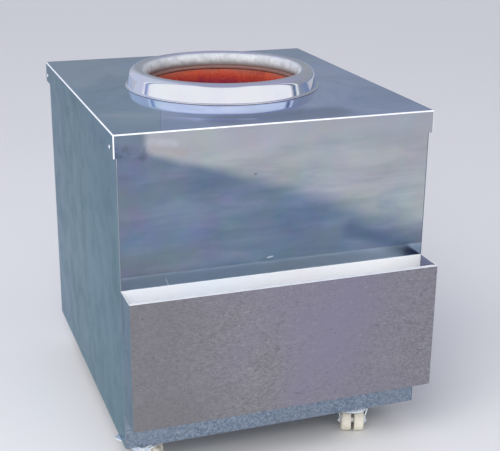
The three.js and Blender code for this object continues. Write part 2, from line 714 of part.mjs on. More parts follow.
function casterBearing() {
  const bearingTop = bearingBottom + BEARING_HEIGHT;
  return turned([
    [BEARING_BORE, bearingBottom], [BEARING_RADIUS - 2, bearingBottom],
    [BEARING_RADIUS, bearingBottom + BEARING_HEIGHT / 2], [BEARING_RADIUS - 2, bearingTop],
    [BEARING_BORE, bearingTop],
  ], 16);
}

// One leg. It leans in from the rim of the dome, then hangs straight down to the axle.
function forkLeg() {
  const rimSide = FORK_RIM_RADIUS - FORK_SHEET;
  const rootBottom = forkTop - FORK_RIM_DROP;
  const root = block(
    -FORK_LEG_REACH, FORK_LEG_REACH, rimSide - FORK_SHEET, rimSide,
    rootBottom, rootBottom + FORK_LEG_ROOT_HEIGHT,
  );
  const bendHeight = axleHeight + FORK_BEND_HEIGHT;
  const bend = block(
    TRAIL - FORK_BOSS_RADIUS - FORK_SHEET, TRAIL + FORK_BOSS_RADIUS, legInnerFace, legOuterFace,
    bendHeight - 1, bendHeight,
  );
  const boss = rodAlongY(FORK_BOSS_RADIUS, legInnerFace, legOuterFace, 12)
    .translate([TRAIL, 0, axleHeight]);
  return root.add(bend).hull().add(bend.add(boss).hull());
}

// The fork's own X axis is the rolling direction, with the axle at TRAIL.
function casterFork() {
  const bore = KINGPIN_RADIUS + RUNNING_FIT;
  const rimBottom = forkTop - FORK_RIM_DROP;
  const dome = turned([
    [bore, forkTop - FORK_SHEET], [FORK_CROWN_RADIUS - FORK_SHEET / 2, forkTop - FORK_SHEET],
    [FORK_RIM_RADIUS - FORK_SHEET, rimBottom], [FORK_RIM_RADIUS, rimBottom],
    [FORK_CROWN_RADIUS, forkTop], [bore, forkTop],
  ], 20);
  const leg = forkLeg();
  const axleHole = rodAlongY(AXLE_RADIUS + FIT, -legOuterFace - 1, legOuterFace + 1, 12)
    .translate([TRAIL, 0, axleHeight]);
  return cut(join([dome, leg, leg.mirror([0, 1, 0])]), [axleHole]);
}

// A nylon wheel about the Z axis, from its inner face at 0 to its outer face.
function casterWheel() {
  const bore = AXLE_RADIUS + RUNNING_FIT;
  const innerEdge = WHEEL_SHOULDER / 3;
  const profile = [
    [bore, 0], [WHEEL_RADIUS - innerEdge, 0], [WHEEL_RADIUS, innerEdge],
    [WHEEL_RADIUS, WHEEL_WIDTH - WHEEL_SHOULDER],
    [WHEEL_RADIUS - WHEEL_SHOULDER / 3, WHEEL_WIDTH - WHEEL_SHOULDER / 3],
    [WHEEL_RADIUS - WHEEL_SHOULDER, WHEEL_WIDTH], [bore, WHEEL_WIDTH],
  ];
  const flatAtFoot = Math.PI / WHEEL_SIDES;
  return turned(profile, WHEEL_SIDES, flatAtFoot);
}

// The through bolt that the wheels turn on, with the spacer that keeps them apart.
function casterAxle() {
  const headFrom = legOuterFace + FIT;
  const spacerEnd = wheelInnerFace - WHEEL_SIDE_GAP;
  const head = rodAlongY(AXLE_HEAD_RADIUS, headFrom, headFrom + AXLE_HEAD_HEIGHT, 6);
  return join([
    rodAlongY(AXLE_RADIUS, -headFrom - 1, headFrom + 1, 12),
    rodAlongY(AXLE_SPACER_RADIUS, -spacerEnd, spacerEnd, 12),
    head, head.mirror([0, 1, 0]),
  ]);
}

function addCaster({ name, x, y, plateTurn, forkTurn }) {
  const caster = new THREE.Group();
  caster.position.set(x, y, 0);
  assembly.add(caster);

  const plate = add(caster, `${name}_caster_plate`, zincPlate(), casterPlate());
  plate.rotation.z = THREE.MathUtils.degToRad(plateTurn);
  add(caster, `${name}_caster_kingpin`, screwSteel(), casterKingpin());
  add(caster, `${name}_caster_bearing`, screwSteel(), casterBearing());

  const swivel = new THREE.Group();
  swivel.rotation.z = THREE.MathUtils.degToRad(forkTurn);
  caster.add(swivel);
  add(swivel, `${name}_caster_fork`, zincPlate(), casterFork());
  const axle = casterAxle().translate([TRAIL, 0, axleHeight]);
  add(swivel, `${name}_caster_axle`, screwSteel(), axle);
  const wheel = casterWheel();
  const leftWheel = wheel.rotate([-90, 0, 0]).translate([TRAIL, wheelInnerFace, axleHeight]);
  const rightWheel = wheel.rotate([90, 0, 0]).translate([TRAIL, -wheelInnerFace, axleHeight]);
  add(swivel, `${name}_caster_left_wheel`, nylon(), leftWheel);
  add(swivel, `${name}_caster_right_wheel`, nylon(), rightWheel);
}

// ---------------------------------------------------------------- the whole oven

addFrame();
addPanels();
addCover();
addFrontBox();
addPot();
addMouthRing();
addGrate();
addDuct();
addDamper();
CASTERS.forEach(addCaster);

const footprint = new THREE.Box3().setFromObject(assembly, true).getCenter(new THREE.Vector3());
assembly.position.set(-footprint.x, -footprint.y, 0);

export default assembly;
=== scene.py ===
"""Looks of the clay tandoor oven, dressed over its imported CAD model. Metres, in the row frame."""

import math

import bmesh
import bpy
import numpy as np
from mathutils import Matrix, Vector


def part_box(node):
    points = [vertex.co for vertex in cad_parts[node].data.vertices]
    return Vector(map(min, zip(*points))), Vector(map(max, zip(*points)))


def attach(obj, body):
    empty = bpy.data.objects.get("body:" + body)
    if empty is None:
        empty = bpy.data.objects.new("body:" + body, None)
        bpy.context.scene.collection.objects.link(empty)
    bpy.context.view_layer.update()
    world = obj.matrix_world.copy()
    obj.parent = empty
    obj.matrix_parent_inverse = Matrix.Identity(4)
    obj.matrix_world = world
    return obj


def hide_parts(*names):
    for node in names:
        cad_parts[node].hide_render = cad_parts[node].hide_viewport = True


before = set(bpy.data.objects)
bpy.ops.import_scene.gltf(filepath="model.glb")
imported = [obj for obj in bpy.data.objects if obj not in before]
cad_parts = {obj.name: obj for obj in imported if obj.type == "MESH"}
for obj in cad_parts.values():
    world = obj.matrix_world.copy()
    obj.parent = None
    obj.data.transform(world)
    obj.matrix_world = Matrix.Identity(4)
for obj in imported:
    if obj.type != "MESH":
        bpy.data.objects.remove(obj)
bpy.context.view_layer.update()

MM = 0.001
TAU = 2 * math.pi

# ------------------------------------------------------------------ places taken from the frame

pot_lo, pot_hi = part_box("clay_pot")
AXIS = Vector(((pot_lo.x + pot_hi.x) / 2, (pot_lo.y + pot_hi.y) / 2, 0))
cover_lo, cover_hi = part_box("top_cover")
COVER_TOP = cover_hi.z
BODY_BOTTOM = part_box("left_panel")[0].z
SHEET = 1.5 * MM
CASTERS = {  # how far each caster's plate and fork are turned, in degrees
    "front_left": (35, -20),
    "front_right": (0, 250),
    "rear_left": (0, 25),
    "rear_right": (0, 150),
}


def at(x, y, z):
    """A point given in mm from the cabinet's middle, with z above the panels' bottom edge."""
    return Vector((AXIS.x + x * MM, AXIS.y + y * MM, BODY_BOTTOM + z * MM))


# ------------------------------------------------------------------ camera, floor and light

FRONTWARD = (-0.1762, -0.468, 0.0)  # half a unit long, towards the lit wall in front
LEFTWARD = (-0.471, 0.168, 0.0)


def add_camera():
    yaw, pitch, roll = (math.radians(a) for a in (19.634, 19.389, 0.530))
    ahead = Vector(
        (math.sin(yaw) * math.cos(pitch), math.cos(yaw) * math.cos(pitch), -math.sin(pitch))
    )
    level = Vector((math.cos(yaw), -math.sin(yaw), 0))
    above = level.cross(ahead)
    right = level * math.cos(roll) + above * math.sin(roll)
    up = above * math.cos(roll) - level * math.sin(roll)
    data = bpy.data.cameras.new("camera")
    data.lens = 77.386
    data.sensor_width = 36
    data.clip_start = 0.05
    data.clip_end = 200
    camera = bpy.data.objects.new("camera", data)
    spot = Vector((-0.9239, -2.7747, 1.5353))
    rows = [(right[i], up[i], -ahead[i], spot[i]) for i in range(3)]
    camera.matrix_world = Matrix((*rows, (0, 0, 0, 1)))
    bpy.context.scene.collection.objects.link(camera)
    bpy.context.scene.camera = camera


def add_softbox(place, target, side, radiance):
    data = bpy.data.lights.new("key_softbox", "AREA")
    data.shape = "RECTANGLE"
    data.size = data.size_y = side
    data.energy = radiance * math.pi * side**2
    lamp = bpy.data.objects.new("key_softbox", data)
    place, target = Vector(place), Vector(target)
    lamp.location = place
    lamp.rotation_mode = "QUATERNION"
    lamp.rotation_quaternion = (target - place).to_track_quat("-Z", "Y")
    lamp.visible_camera = False
    lamp.visible_glossy = False
    bpy.context.scene.collection.objects.link(lamp)


def add_studio():
    """A dim dome, with bright upright walls for the polished steel to mirror, and one lamp."""
    scene = bpy.context.scene
    scene.view_settings.view_transform = "Standard"
    scene.world = bpy.data.worlds.new("studio")
    scene.world.use_nodes = True
    w = Nodes(scene.world.node_tree)
    where = w.node("ShaderNodeTexCoord").outputs["Generated"]
    height = w.node("ShaderNodeSeparateXYZ", Vector=where).outputs[2]
    level = w.vector("MULTIPLY", where, (1, 1, 0))
    reach = w.calc("MAXIMUM", w.vector("LENGTH", level, out=1), 0.001)
    facing = w.calc("DIVIDE", w.vector("DOT_PRODUCT", level, FRONTWARD, out=1), reach)
    facing = w.calc("ADD", facing, 0.5)
    dome = w.ramp(
        height,
        (0.0, (0.20, 0.28, 0.45)),
        (0.05, (0.30, 0.34, 0.44)),
        (0.15, (0.335, 0.36, 0.40)),
        (0.45, (0.345, 0.365, 0.42)),
        (0.70, (0.40, 0.40, 0.54)),
        (1.0, (0.42, 0.42, 0.58)),
    )
    wall = w.steps(height, (0.02, 0), (0.06, 1), (0.94, 1), (0.98, 0))
    sides = w.steps(facing, (0.34, 0), (0.36, 0.8), (0.38, 0.8), (0.40, 0), (0.44, 0), (0.47, 1))
    gap = w.ramp(facing, (0.385, (1, 1, 1)), (0.41, (0.3, 0.45, 0.75)), (0.44, (1, 1, 1)))
    left = w.steps(w.vector("DOT_PRODUCT", where, LEFTWARD, out=1), (0.09, 0), (0.24, 1))
    sky = w.blend_of(left, dome, (0.62, 0.66, 0.80))
    sky = w.blend_of(1, sky, gap, "MULTIPLY")
    sky = w.blend_of(w.times(wall, sides), sky, (1.0, 1.005, 1.03))
    seen = w.node("ShaderNodeMixShader")
    w.put(seen.inputs[0], w.node("ShaderNodeLightPath").outputs["Is Camera Ray"])
    w.put(seen.inputs[1], w.node("ShaderNodeBackground", Color=sky).outputs[0])
    w.put(seen.inputs[2], w.node("ShaderNodeBackground", Color=(0.66, 0.66, 0.70)).outputs[0])
    w.node("ShaderNodeOutputWorld", Surface=seen.outputs[0])
    add_softbox((-1.9, -2.6, 3.4), (0.0, 0.0, 0.6), 2.6, 5.2)


def add_floor():
    mesh = bpy.data.meshes.new("floor")
    half, z = 40.0, -0.0004
    corners = [(-half, -half, z), (half, -half, z), (half, half, z), (-half, half, z)]
    mesh.from_pydata(corners, [], [(0, 1, 2, 3)])
    floor = bpy.data.objects.new("floor", mesh)
    bpy.context.scene.collection.objects.link(floor)
    paint = Paint("floor_paint", color=(0.78, 0.78, 0.79), roughness=0.85)
    paint.color(paint.blend_of(paint.noise(0.7, 2), (0.775, 0.775, 0.785), (0.79, 0.79, 0.795)))
    mesh.materials.append(paint.material)


# ------------------------------------------------------------------ materials


class Nodes:
    """Makes and links the nodes of one tree."""

    def __init__(self, tree):
        self.tree = tree
        tree.nodes.clear()

    def node(self, kind, settings=None, **inputs):
        made = self.tree.nodes.new(kind)
        for key, value in (settings or {}).items():
            setattr(made, key, value)
        for key, value in inputs.items():
            self.put(made.inputs[key.replace("_", " ")], value)
        return made

    def put(self, socket, value):
        if isinstance(value, bpy.types.NodeSocket):
            self.tree.links.new(value, socket)
        elif isinstance(value, (tuple, list)) and socket.type == "RGBA":
            socket.default_value = (*value[:3], 1)
        else:
            socket.default_value = value

    def calc(self, operation, a, b=0.0, c=0.0):
        made = self.node("ShaderNodeMath", {"operation": operation})
        for socket, value in zip(made.inputs, (a, b, c)):
            self.put(socket, value)
        return made.outputs[0]

    def vector(self, operation, a, b=(0, 0, 0), out=0):
        made = self.node("ShaderNodeVectorMath", {"operation": operation})
        self.put(made.inputs[0], a)
        if operation == "SCALE":
            self.put(made.inputs["Scale"], b)
        else:
            self.put(made.inputs[1], b)
        return made.outputs[out]

    def span(self, value, low, high, to_low=0.0, to_high=1.0, smooth=True):
        made = self.node("ShaderNodeMapRange", {"clamp": True})
        if smooth:
            made.interpolation_type = "SMOOTHSTEP"
        for socket, number in zip(made.inputs, (value, low, high, to_low, to_high)):
            self.put(socket, number)
        return made.outputs[0]

    def blend_of(self, amount, a, b, kind="MIX"):
        made = self.node("ShaderNodeMix", {"data_type": "RGBA", "blend_type": kind})
        self.put(made.inputs[0], amount)
        self.put(made.inputs[6], a)
        self.put(made.inputs[7], b)
        return made.outputs[2]

    def ramp(self, value, *stops):
        made = self.node("ShaderNodeValToRGB", Fac=value)
        elements = made.color_ramp.elements
        while len(elements) < len(stops):
            elements.new(0.5)
        for element, (position, color) in zip(elements, stops):
            element.position = position
            element.color = (*color, 1)
        return made.outputs[0]

    def times(self, a, b):
        return self.calc("MULTIPLY", a, b)

    def steps(self, value, *stops):
        """A ramp of greys."""
        return self.ramp(value, *((spot, (v, v, v)) for spot, v in stops))


class Paint(Nodes):
    """One procedural material, built node by node in the row frame's coordinates.

    lit is the share of white light that its faces send to the camera, if its tones are sRGB.
    """

    def __init__(self, name, color, roughness, metallic=0.0, lit=None, **sockets):
        self.lit = lit
        self.material = bpy.data.materials.new(name)
        self.material.use_nodes = True
        super().__init__(self.material.node_tree)
        out = self.node("ShaderNodeOutputMaterial")
        self.shader = self.node("ShaderNodeBsdfPrincipled")
        self.put(out.inputs[0], self.shader.outputs[0])
        self.shader.inputs["Base Color"].default_value = (*color, 1)
        self.shader.inputs["Roughness"].default_value = roughness
        self.shader.inputs["Metallic"].default_value = metallic
        for socket, value in sockets.items():
            self.shader.inputs[socket.replace("_", " ")].default_value = value
        self.place = self.node("ShaderNodeTexCoord").outputs["Object"]
        split = self.node("ShaderNodeSeparateXYZ", Vector=self.place)
        self.x, self.y, self.z = split.outputs

    def stretched(self, x, y, z, turn=(0, 0, 0)):
        made = self.node("ShaderNodeMapping", Vector=self.place)
        made.inputs["Scale"].default_value = (x, y, z)
        made.inputs["Rotation"].default_value = [math.radians(a) for a in turn]
        return made.outputs[0]

    def noise(self, scale, detail=4.0, rough=0.5, warp=0.0, at=None):
        made = self.node(
            "ShaderNodeTexNoise",
            Vector=at or self.place,
            Scale=scale,
            Detail=detail,
            Roughness=rough,
            Distortion=warp,
        )
        return made.outputs[0]

    def cells(self, scale, at=None, feature="F1", out=1):
        made = self.node(
            "ShaderNodeTexVoronoi", {"feature": feature}, Vector=at or self.place, Scale=scale
        )
        return made.outputs[out]

    def stroke(self, start, end, inner, outer):
        """1 within inner metres of the line from start to end, 0 beyond outer."""
        start, end = Vector(start), Vector(end)
        along = end - start
        rel = self.vector("SUBTRACT", self.place, tuple(start))
        share = self.vector("DOT_PRODUCT", rel, tuple(along / along.length_squared), out=1)
        share = self.calc("MINIMUM", self.calc("MAXIMUM", share, 0.0), 1.0)
        foot = self.vector("SCALE", tuple(along), share)
        gap = self.vector("LENGTH", self.vector("SUBTRACT", rel, foot), out=1)
        return self.span(gap, inner, outer, 1.0, 0.0)

    def radius(self, about):
        """Distance from the upright axis through about."""
        flat = self.vector("MULTIPLY", self.vector("SUBTRACT", self.place, tuple(about)), (1, 1, 0))
        return self.vector("LENGTH", flat, out=1)

    def color(self, socket):
        self.tone = socket
        self.put(self.shader.inputs["Base Color"], socket)

    def shade(self, r, g, b):
        """A tone as linear light. It is given as sRGB if the paint says how it is lit."""
        return srgb(r, g, b, self.lit) if self.lit else (r, g, b)

    def over(self, amount, r, g, b):
        """Lays one more tone over the colour."""
        self.color(self.blend_of(amount, self.tone, self.shade(r, g, b)))

    def tones(self, value, *stops):
        return self.ramp(value, *((spot, self.shade(*tone)) for spot, *tone in stops))

    def rough(self, field, low, high):
        """Roughness from low to high over the middle of a noise field."""
        self.put(self.shader.inputs["Roughness"], self.span(field, 0.3, 0.7, low, high))

    def bump(self, height, distance, strength=1.0):
        made = self.node("ShaderNodeBump", Height=height, Distance=distance, Strength=strength)
        normal = self.shader.inputs["Normal"]
        if normal.is_linked:
            self.tree.links.new(normal.links[0].from_socket, made.inputs["Normal"])
        self.tree.links.new(made.outputs[0], normal)
        return self


def srgb(r, g, b, share=1.0):
    """A colour written as 0-255 sRGB, as linear light, divided by the light that falls on it."""
    out = []
    for v in (r, g, b):
        v /= 255
        v = v / 12.92 if v <= 0.04045 else ((v + 0.055) / 1.055) ** 2.4
        out.append(v / share)
    return tuple(out)


def sheet_waves(paint, scale=2.2, height=0.6 * MM):
    """The slow waves that thin polished sheet shows in its reflections."""
    paint.bump(paint.noise(scale, 1.5, 0.4, 0.3), height)


def on_front(p, start, end, inner, outer):
    """A stroke on the front panel, between points given as (x, z) in at's millimetres."""
    (x0, z0), (x1, z1) = start, end
    return p.stroke(at(x0, -457, z0), at(x1, -457, z1), inner, outer)


def front_steel():
    """Polished front with a painted reflection: a pale upper part and a slate-blue lower part,
    parted by a slanting edge.
    """
    p = Paint("front_steel", (0.4, 0.42, 0.45), 0.16, 1.0, 0.86)
    x = p.calc("SUBTRACT", p.x, AXIS.x)
    # Painted reflection: pale above a slanting edge, slate-blue below it
    marks = np.array(((-408, 790), (-229, 751), (1, 667), (166, 588), (434, 498))) * MM
    c2, c1, c0 = np.polyfit(marks[:, 0], marks[:, 1] + BODY_BOTTOM, 2)
    edge = p.calc("MULTIPLY_ADD", p.calc("MULTIPLY_ADD", x, float(c2), float(c1)), x, float(c0))
    wobble = p.times(p.calc("SUBTRACT", p.noise(7, 3), 0.5), 0.022)
    above = p.calc("ADD", p.calc("SUBTRACT", p.z, edge), wobble)
    width = p.span(x, -0.3, 0.4, 0.016, 0.06)
    pale = p.span(above, p.times(width, -0.7), width)
    streaks = p.noise(9, 5, 0.55, 0.4, at=p.stretched(0.55, 1, 2.6, (0, 8, 0)))
    patches = p.noise(3.4, 3, 0.5, 0.8)
    light = p.tones(streaks, (0.30, 150, 159, 166), (0.50, 167, 174, 177), (0.68, 180, 184, 186))
    light = p.blend_of(p.span(p.z, 0.80, 0.905), light, p.shade(177, 180, 186))
    light = p.blend_of(p.span(patches, 0.52, 0.7, 0, 0.5), light, p.shade(170, 168, 178))
    dark = p.tones(streaks, (0.28, 94, 112, 134), (0.5, 107, 124, 144), (0.72, 122, 134, 157))
    dark = p.blend_of(p.span(patches, 0.5, 0.66, 0, 0.6), dark, p.shade(114, 122, 136))
    # Painted reflection: the pale part turns darker slate towards the left corner
    corner = p.span(x, -0.326, -0.350)
    light = p.blend_of(corner, light, p.shade(124, 134, 150))
    p.color(p.blend_of(pale, dark, light))
    # Painted reflection, toned greyer low on the left
    low = p.span(p.z, BODY_BOTTOM + 0.57, BODY_BOTTOM + 0.50)
    low = p.times(low, p.span(x, -0.05, -0.28))
    p.over(p.times(low, 0.6), 106, 110, 118)
    tints = p.node("ShaderNodeTexNoise", Vector=p.place, Scale=11.0, Detail=5.0, Roughness=0.6)
    p.color(p.blend_of(0.34, p.tone, tints.outputs[1], "SOFT_LIGHT"))
    # Painted light: paler where the panel mirrors the floor in front of the box, which is darker by
    # the box
    shade = p.span(p.z, BODY_BOTTOM + 0.4725, BODY_BOTTOM + 0.4665)
    shade = p.times(shade, p.span(x, 0.20, 0.33, 0.56, 1.0))
    shade = p.times(shade, p.span(x, 0.370, 0.392, 1.0, 0.45))
    p.over(shade, 190, 206, 222)
    # Painted reflection: a darker slanting band on the right of the panel
    band = on_front(p, (196, 530), (430, 432), 0.002, 0.034)
    p.over(p.times(band, 0.6), 76, 97, 124)
    grain = p.noise(34, 7, 0.75, 0.3, at=p.stretched(1, 1, 0.6, (0, -35, 0)))
    # Painted reflection: a dark mottled streak near the top left
    dark_reflection = on_front(p, (-402, 786), (-340, 776), 0.008, 0.026)
    dark_reflection = p.times(dark_reflection, p.span(grain, 0.36, 0.58))
    p.over(p.times(dark_reflection, 0.7), 84, 92, 104)
    # Painted highlight: a pale streak near the top left
    glint = on_front(p, (-326, 803), (-268, 797), 0.006, 0.018)
    glint = p.times(glint, p.span(grain, 0.35, 0.6, 0.3, 0.9))
    p.over(glint, 196, 196, 198)
    # Painted reflection: a tan streak near the top left
    tan = on_front(p, (-318, 786), (-245, 772), 0.004, 0.022)
    tan = p.times(tan, p.span(grain, 0.3, 0.6, 0.35, 0.9))
    p.over(p.times(tan, 0.7), 176, 166, 162)
    marks = on_front(p, (-292.7, 454.5), (-285.4, 433), 0.0006, 0.0016)
    dash = on_front(p, (-28, 479), (-15, 481), 0.0004, 0.0026)
    dash = p.times(dash, 0.6)
    p.over(p.calc("MAXIMUM", marks, dash), 226, 232, 240)
    nick = on_front(p, (-65, 700.5), (-61, 701.5), 0.0014, 0.0034)
    p.over(p.times(nick, 0.7), 105, 112, 122)
    p.rough(p.noise(14, 5, 0.6, 0.5), 0.11, 0.23)
    sheet_waves(p, 2.0, 0.8 * MM)
    return p.bump(p.noise(420, 2, 0.5, at=p.stretched(0.08, 1, 1)), 0.012 * MM)


def side_steel():
    """Polished sides: teal-grey, more lavender towards the top and the back."""
    p = Paint("side_steel", (0.2, 0.29, 0.34), 0.2, 1.0, 0.86, Specular_Tint=(0.58, 0.70, 0.74, 1))
    streaks = p.noise(5, 5, 0.55, 0.6, at=p.stretched(1, 1.6, 0.6))
    p.color(p.tones(streaks, (0.3, 98, 120, 133), (0.52, 110, 132, 146), (0.75, 122, 142, 158)))
    lilac = p.times(p.span(p.z, 0.55, 0.95), p.span(p.noise(3, 2), 0.3, 0.7))
    p.over(p.times(lilac, 0.6), 124, 137, 162)
    back = p.times(p.span(p.y, 0.18, 0.5), 0.55)
    p.over(back, 121, 136, 160)
    smear = p.span(p.noise(28, 6, 0.7, 1.5), 0.6, 0.74, 0, 0.35)
    p.over(smear, 96, 112, 132)
    p.rough(p.noise(12, 5, 0.6, 0.5), 0.14, 0.28)
    sheet_waves(p, 1.8, 0.8 * MM)
    return p.bump(p.noise(420, 2, 0.5, at=p.stretched(1, 1, 0.08)), 0.012 * MM)


def lid_steel():
    """The cover's top: a near mirror, teal-grey at the left of a faint seam and lavender beyond."""
    p = Paint("lid_steel", (0.3, 0.4, 0.5), 0.08, 1.0, 0.43, Specular_Tint=(0.88, 0.90, 0.94, 1))
    cloud = p.noise(6, 5, 0.6, 0.8, at=p.stretched(1, 0.6, 1))
    teal = p.tones(cloud, (0.3, 112, 132, 146), (0.5, 128, 146, 160), (0.72, 146, 158, 168))
    lavender = p.tones(cloud, (0.3, 124, 138, 160), (0.5, 138, 149, 172), (0.72, 152, 160, 180))
    seam_a, seam_b = at(-247, -262, 0), at(-299, -455, 0)
    lean = (seam_a.x - seam_b.x) / (seam_a.y - seam_b.y)
    line = p.calc("MULTIPLY_ADD", p.calc("SUBTRACT", p.y, seam_b.y), lean, seam_b.x)
    beside = p.calc("SUBTRACT", p.x, line)
    near = p.span(p.y, seam_a.y + 0.02, seam_a.y + 0.16, 0.0, 1.0)
    width = p.calc("MULTIPLY_ADD", near, 0.12, 0.0008)
    right = p.span(beside, p.times(width, -1.0), width)
    p.color(p.blend_of(right, teal, lavender))
    groove = p.stroke(at(-247, -262, 827.7), at(-299, -455, 827.7), 0.0004, 0.0016)
    p.over(p.times(groove, 0.4), 84, 104, 120)
    # Painted reflection: a darker band across the lid in front of the ring
    hood = p.stroke(at(-110, -405, 827.7), at(150, -405, 827.7), 0.02, 0.09)
    p.over(p.times(hood, 0.75), 104, 114, 134)
    far = p.times(p.span(p.y, 0.05, 0.45), 0.5)
    p.over(far, 128, 142, 152)
    smear = p.noise(10, 6, 0.65, 2.0, at=p.stretched(1.0, 0.35, 1.0))
    p.over(p.span(smear, 0.58, 0.72, 0, 0.4), 112, 128, 146)
    p.rough(p.noise(16, 5, 0.6, 0.5), 0.05, 0.12)
    sheet_waves(p, 2.6, 0.35 * MM)
    # A slight hollow round the ring, which shortens the ring's reflection
    beyond = p.calc("MAXIMUM", p.calc("SUBTRACT", p.radius(AXIS), 0.262), 0.0)
    beyond = p.calc("MINIMUM", beyond, 0.15)
    p.bump(p.times(p.calc("POWER", beyond, 2.0), -0.25), 1.0)
    return p.bump(p.noise(420, 2, 0.5, at=p.stretched(1, 0.08, 1)), 0.006 * MM)


def box_steel():
    """Satin sheet of the front box, with a fine short-grained mottle, lilac in places."""
    p = Paint("box_steel", (0.28, 0.27, 0.30), 0.42, 1.0, 0.79)
    fine = p.noise(88, 6, 0.78, 1.2, at=p.stretched(1, 1, 1.8, (0, 14, 0)))
    worms = p.noise(40, 6, 0.72, 2.6, at=p.stretched(1, 1, 1.9, (0, 12, 0)))
    p.color(p.tones(worms, (0.30, 102, 101, 105), (0.48, 128, 127, 130), (0.70, 154, 153, 156)))
    zone = p.calc("MULTIPLY_ADD", p.noise(2.6, 3, 0.5, 0.6), 1.0, p.times(p.z, 0.35))
    zone = p.times(p.span(zone, 0.42, 0.82, 0, 0.9), p.span(p.x, -0.40, 0.0, 0.25, 1.0))
    zone = p.times(zone, p.span(p.x, 0.16, 0.36, 1.0, 0.35))
    p.over(zone, 133, 129, 146)
    p.over(p.span(fine, 0.56, 0.70, 0, 0.7), 176, 174, 175)
    p.over(p.span(fine, 0.44, 0.32, 0, 0.75), 84, 84, 90)
    p.over(p.span(p.x, -0.10, -0.36, 0, 0.4), 110, 109, 108)
    low = p.times(p.span(p.z, 0.30, 0.20), p.span(p.x, 0.0, -0.35))
    p.over(p.times(low, 0.4), 118, 117, 118)
    p.rough(fine, 0.36, 0.52)
    sheet_waves(p, 2.0, 0.6 * MM)
    return p.bump(fine, 0.05 * MM)


def edge_steel():
    """Folds and cut edges, painted near white as highlights, but dark down the cabinet's front left
    corner.
    """
    p = Paint("edge_steel", (0.9, 0.92, 0.96), 0.36, 0.3)
    # Painted highlight: near-white tones, varied by noise
    highlight_tone = p.noise(30, 4, 0.6)
    bright = p.blend_of(p.span(highlight_tone, 0.35, 0.65), (0.97, 0.98, 1.0), (0.86, 0.89, 0.94))
    post = p.times(p.span(p.x, -0.390, -0.400), p.span(p.y, -0.419, -0.414))
    post = p.times(post, p.span(p.z, BODY_BOTTOM + 0.790, BODY_BOTTOM + 0.740))
    p.color(p.blend_of(p.times(post, 0.92), bright, (0.09, 0.13, 0.17)))
    p.rough(highlight_tone, 0.32, 0.46)
    return p.bump(p.noise(300, 3), 0.02 * MM)


def box_side_steel():
    tint = (0.58, 0.64, 0.69, 1)
    p = Paint("box_side_steel", (0.2, 0.29, 0.34), 0.26, 1.0, 0.86, Specular_Tint=tint)
    streaks = p.noise(7, 5, 0.6, 0.6, at=p.stretched(1, 2.2, 0.6))
    base = p.tones(streaks, (0.3, 96, 118, 134), (0.52, 112, 134, 149), (0.75, 130, 150, 166))
    p.color(p.blend_of(p.span(p.x, 0.1, 0.2), base, p.shade(128, 131, 154)))
    p.rough(p.noise(12, 5, 0.6, 0.5), 0.2, 0.34)
    return p.bump(p.noise(2.5, 1.5), 0.5 * MM)


def bright_inside():
    """The box's inside, painted almost white to stand in for the light that falls in."""
    p = Paint("box_inside", (0.9, 0.9, 0.94), 0.5, 0.0)
    # Painted light: near-white tones for the light falling into the box
    tone = p.noise(6, 4, 0.5, 0.6, at=p.stretched(0.5, 1, 1))
    p.color(
        p.tones(tone, (0.3, 0.84, 0.89, 0.95), (0.55, 0.88, 0.89, 0.92), (0.75, 0.91, 0.89, 0.90))
    )
    spot = p.stroke(at(172, -466, 436), at(180, -466, 437), 0.0016, 0.0055)
    dent = p.stroke(at(-326, -466, 404.5), at(-318, -466, 405.5), 0.0010, 0.0036)
    spot = p.calc("MAXIMUM", spot, dent)
    # Painted light, whiter towards the right
    p.over(p.span(p.x, 0.05, 0.25), 0.96, 0.97, 0.98)
    p.over(spot, *srgb(88, 98, 118))
    p.rough(p.noise(30, 5), 0.42, 0.62)
    return p.bump(p.noise(90, 4, 0.6), 0.05 * MM)


def galvanised():
    """Hot-dipped sheet: small crystal spangles, blue-grey, speckled with dull spots."""
    p = Paint("galvanised", (0.25, 0.3, 0.36), 0.42, 1.0, 0.85)
    drift = p.node("ShaderNodeTexNoise", Vector=p.place, Scale=70.0).outputs[1]
    drift = p.vector("SCALE", drift, 0.008)
    warped = p.vector("ADD", p.place, drift)
    spangle = p.cells(250, at=warped)
    gray = p.node("ShaderNodeSeparateColor", Color=spangle).outputs[0]
    p.color(p.tones(gray, (0.0, 104, 117, 134), (0.5, 126, 139, 156), (1.0, 154, 165, 180)))
    dull = p.noise(120, 5, 0.75, 0.8)
    p.over(p.span(dull, 0.55, 0.70, 0, 0.75), 92, 104, 122)
    slow = p.noise(4, 3)
    p.over(p.span(slow, 0.45, 0.7, 0, 0.45), 126, 136, 148)
    p.put(p.shader.inputs["Roughness"], p.span(gray, 0, 1, 0.34, 0.55, smooth=False))
    return p.bump(dull, 0.06 * MM)


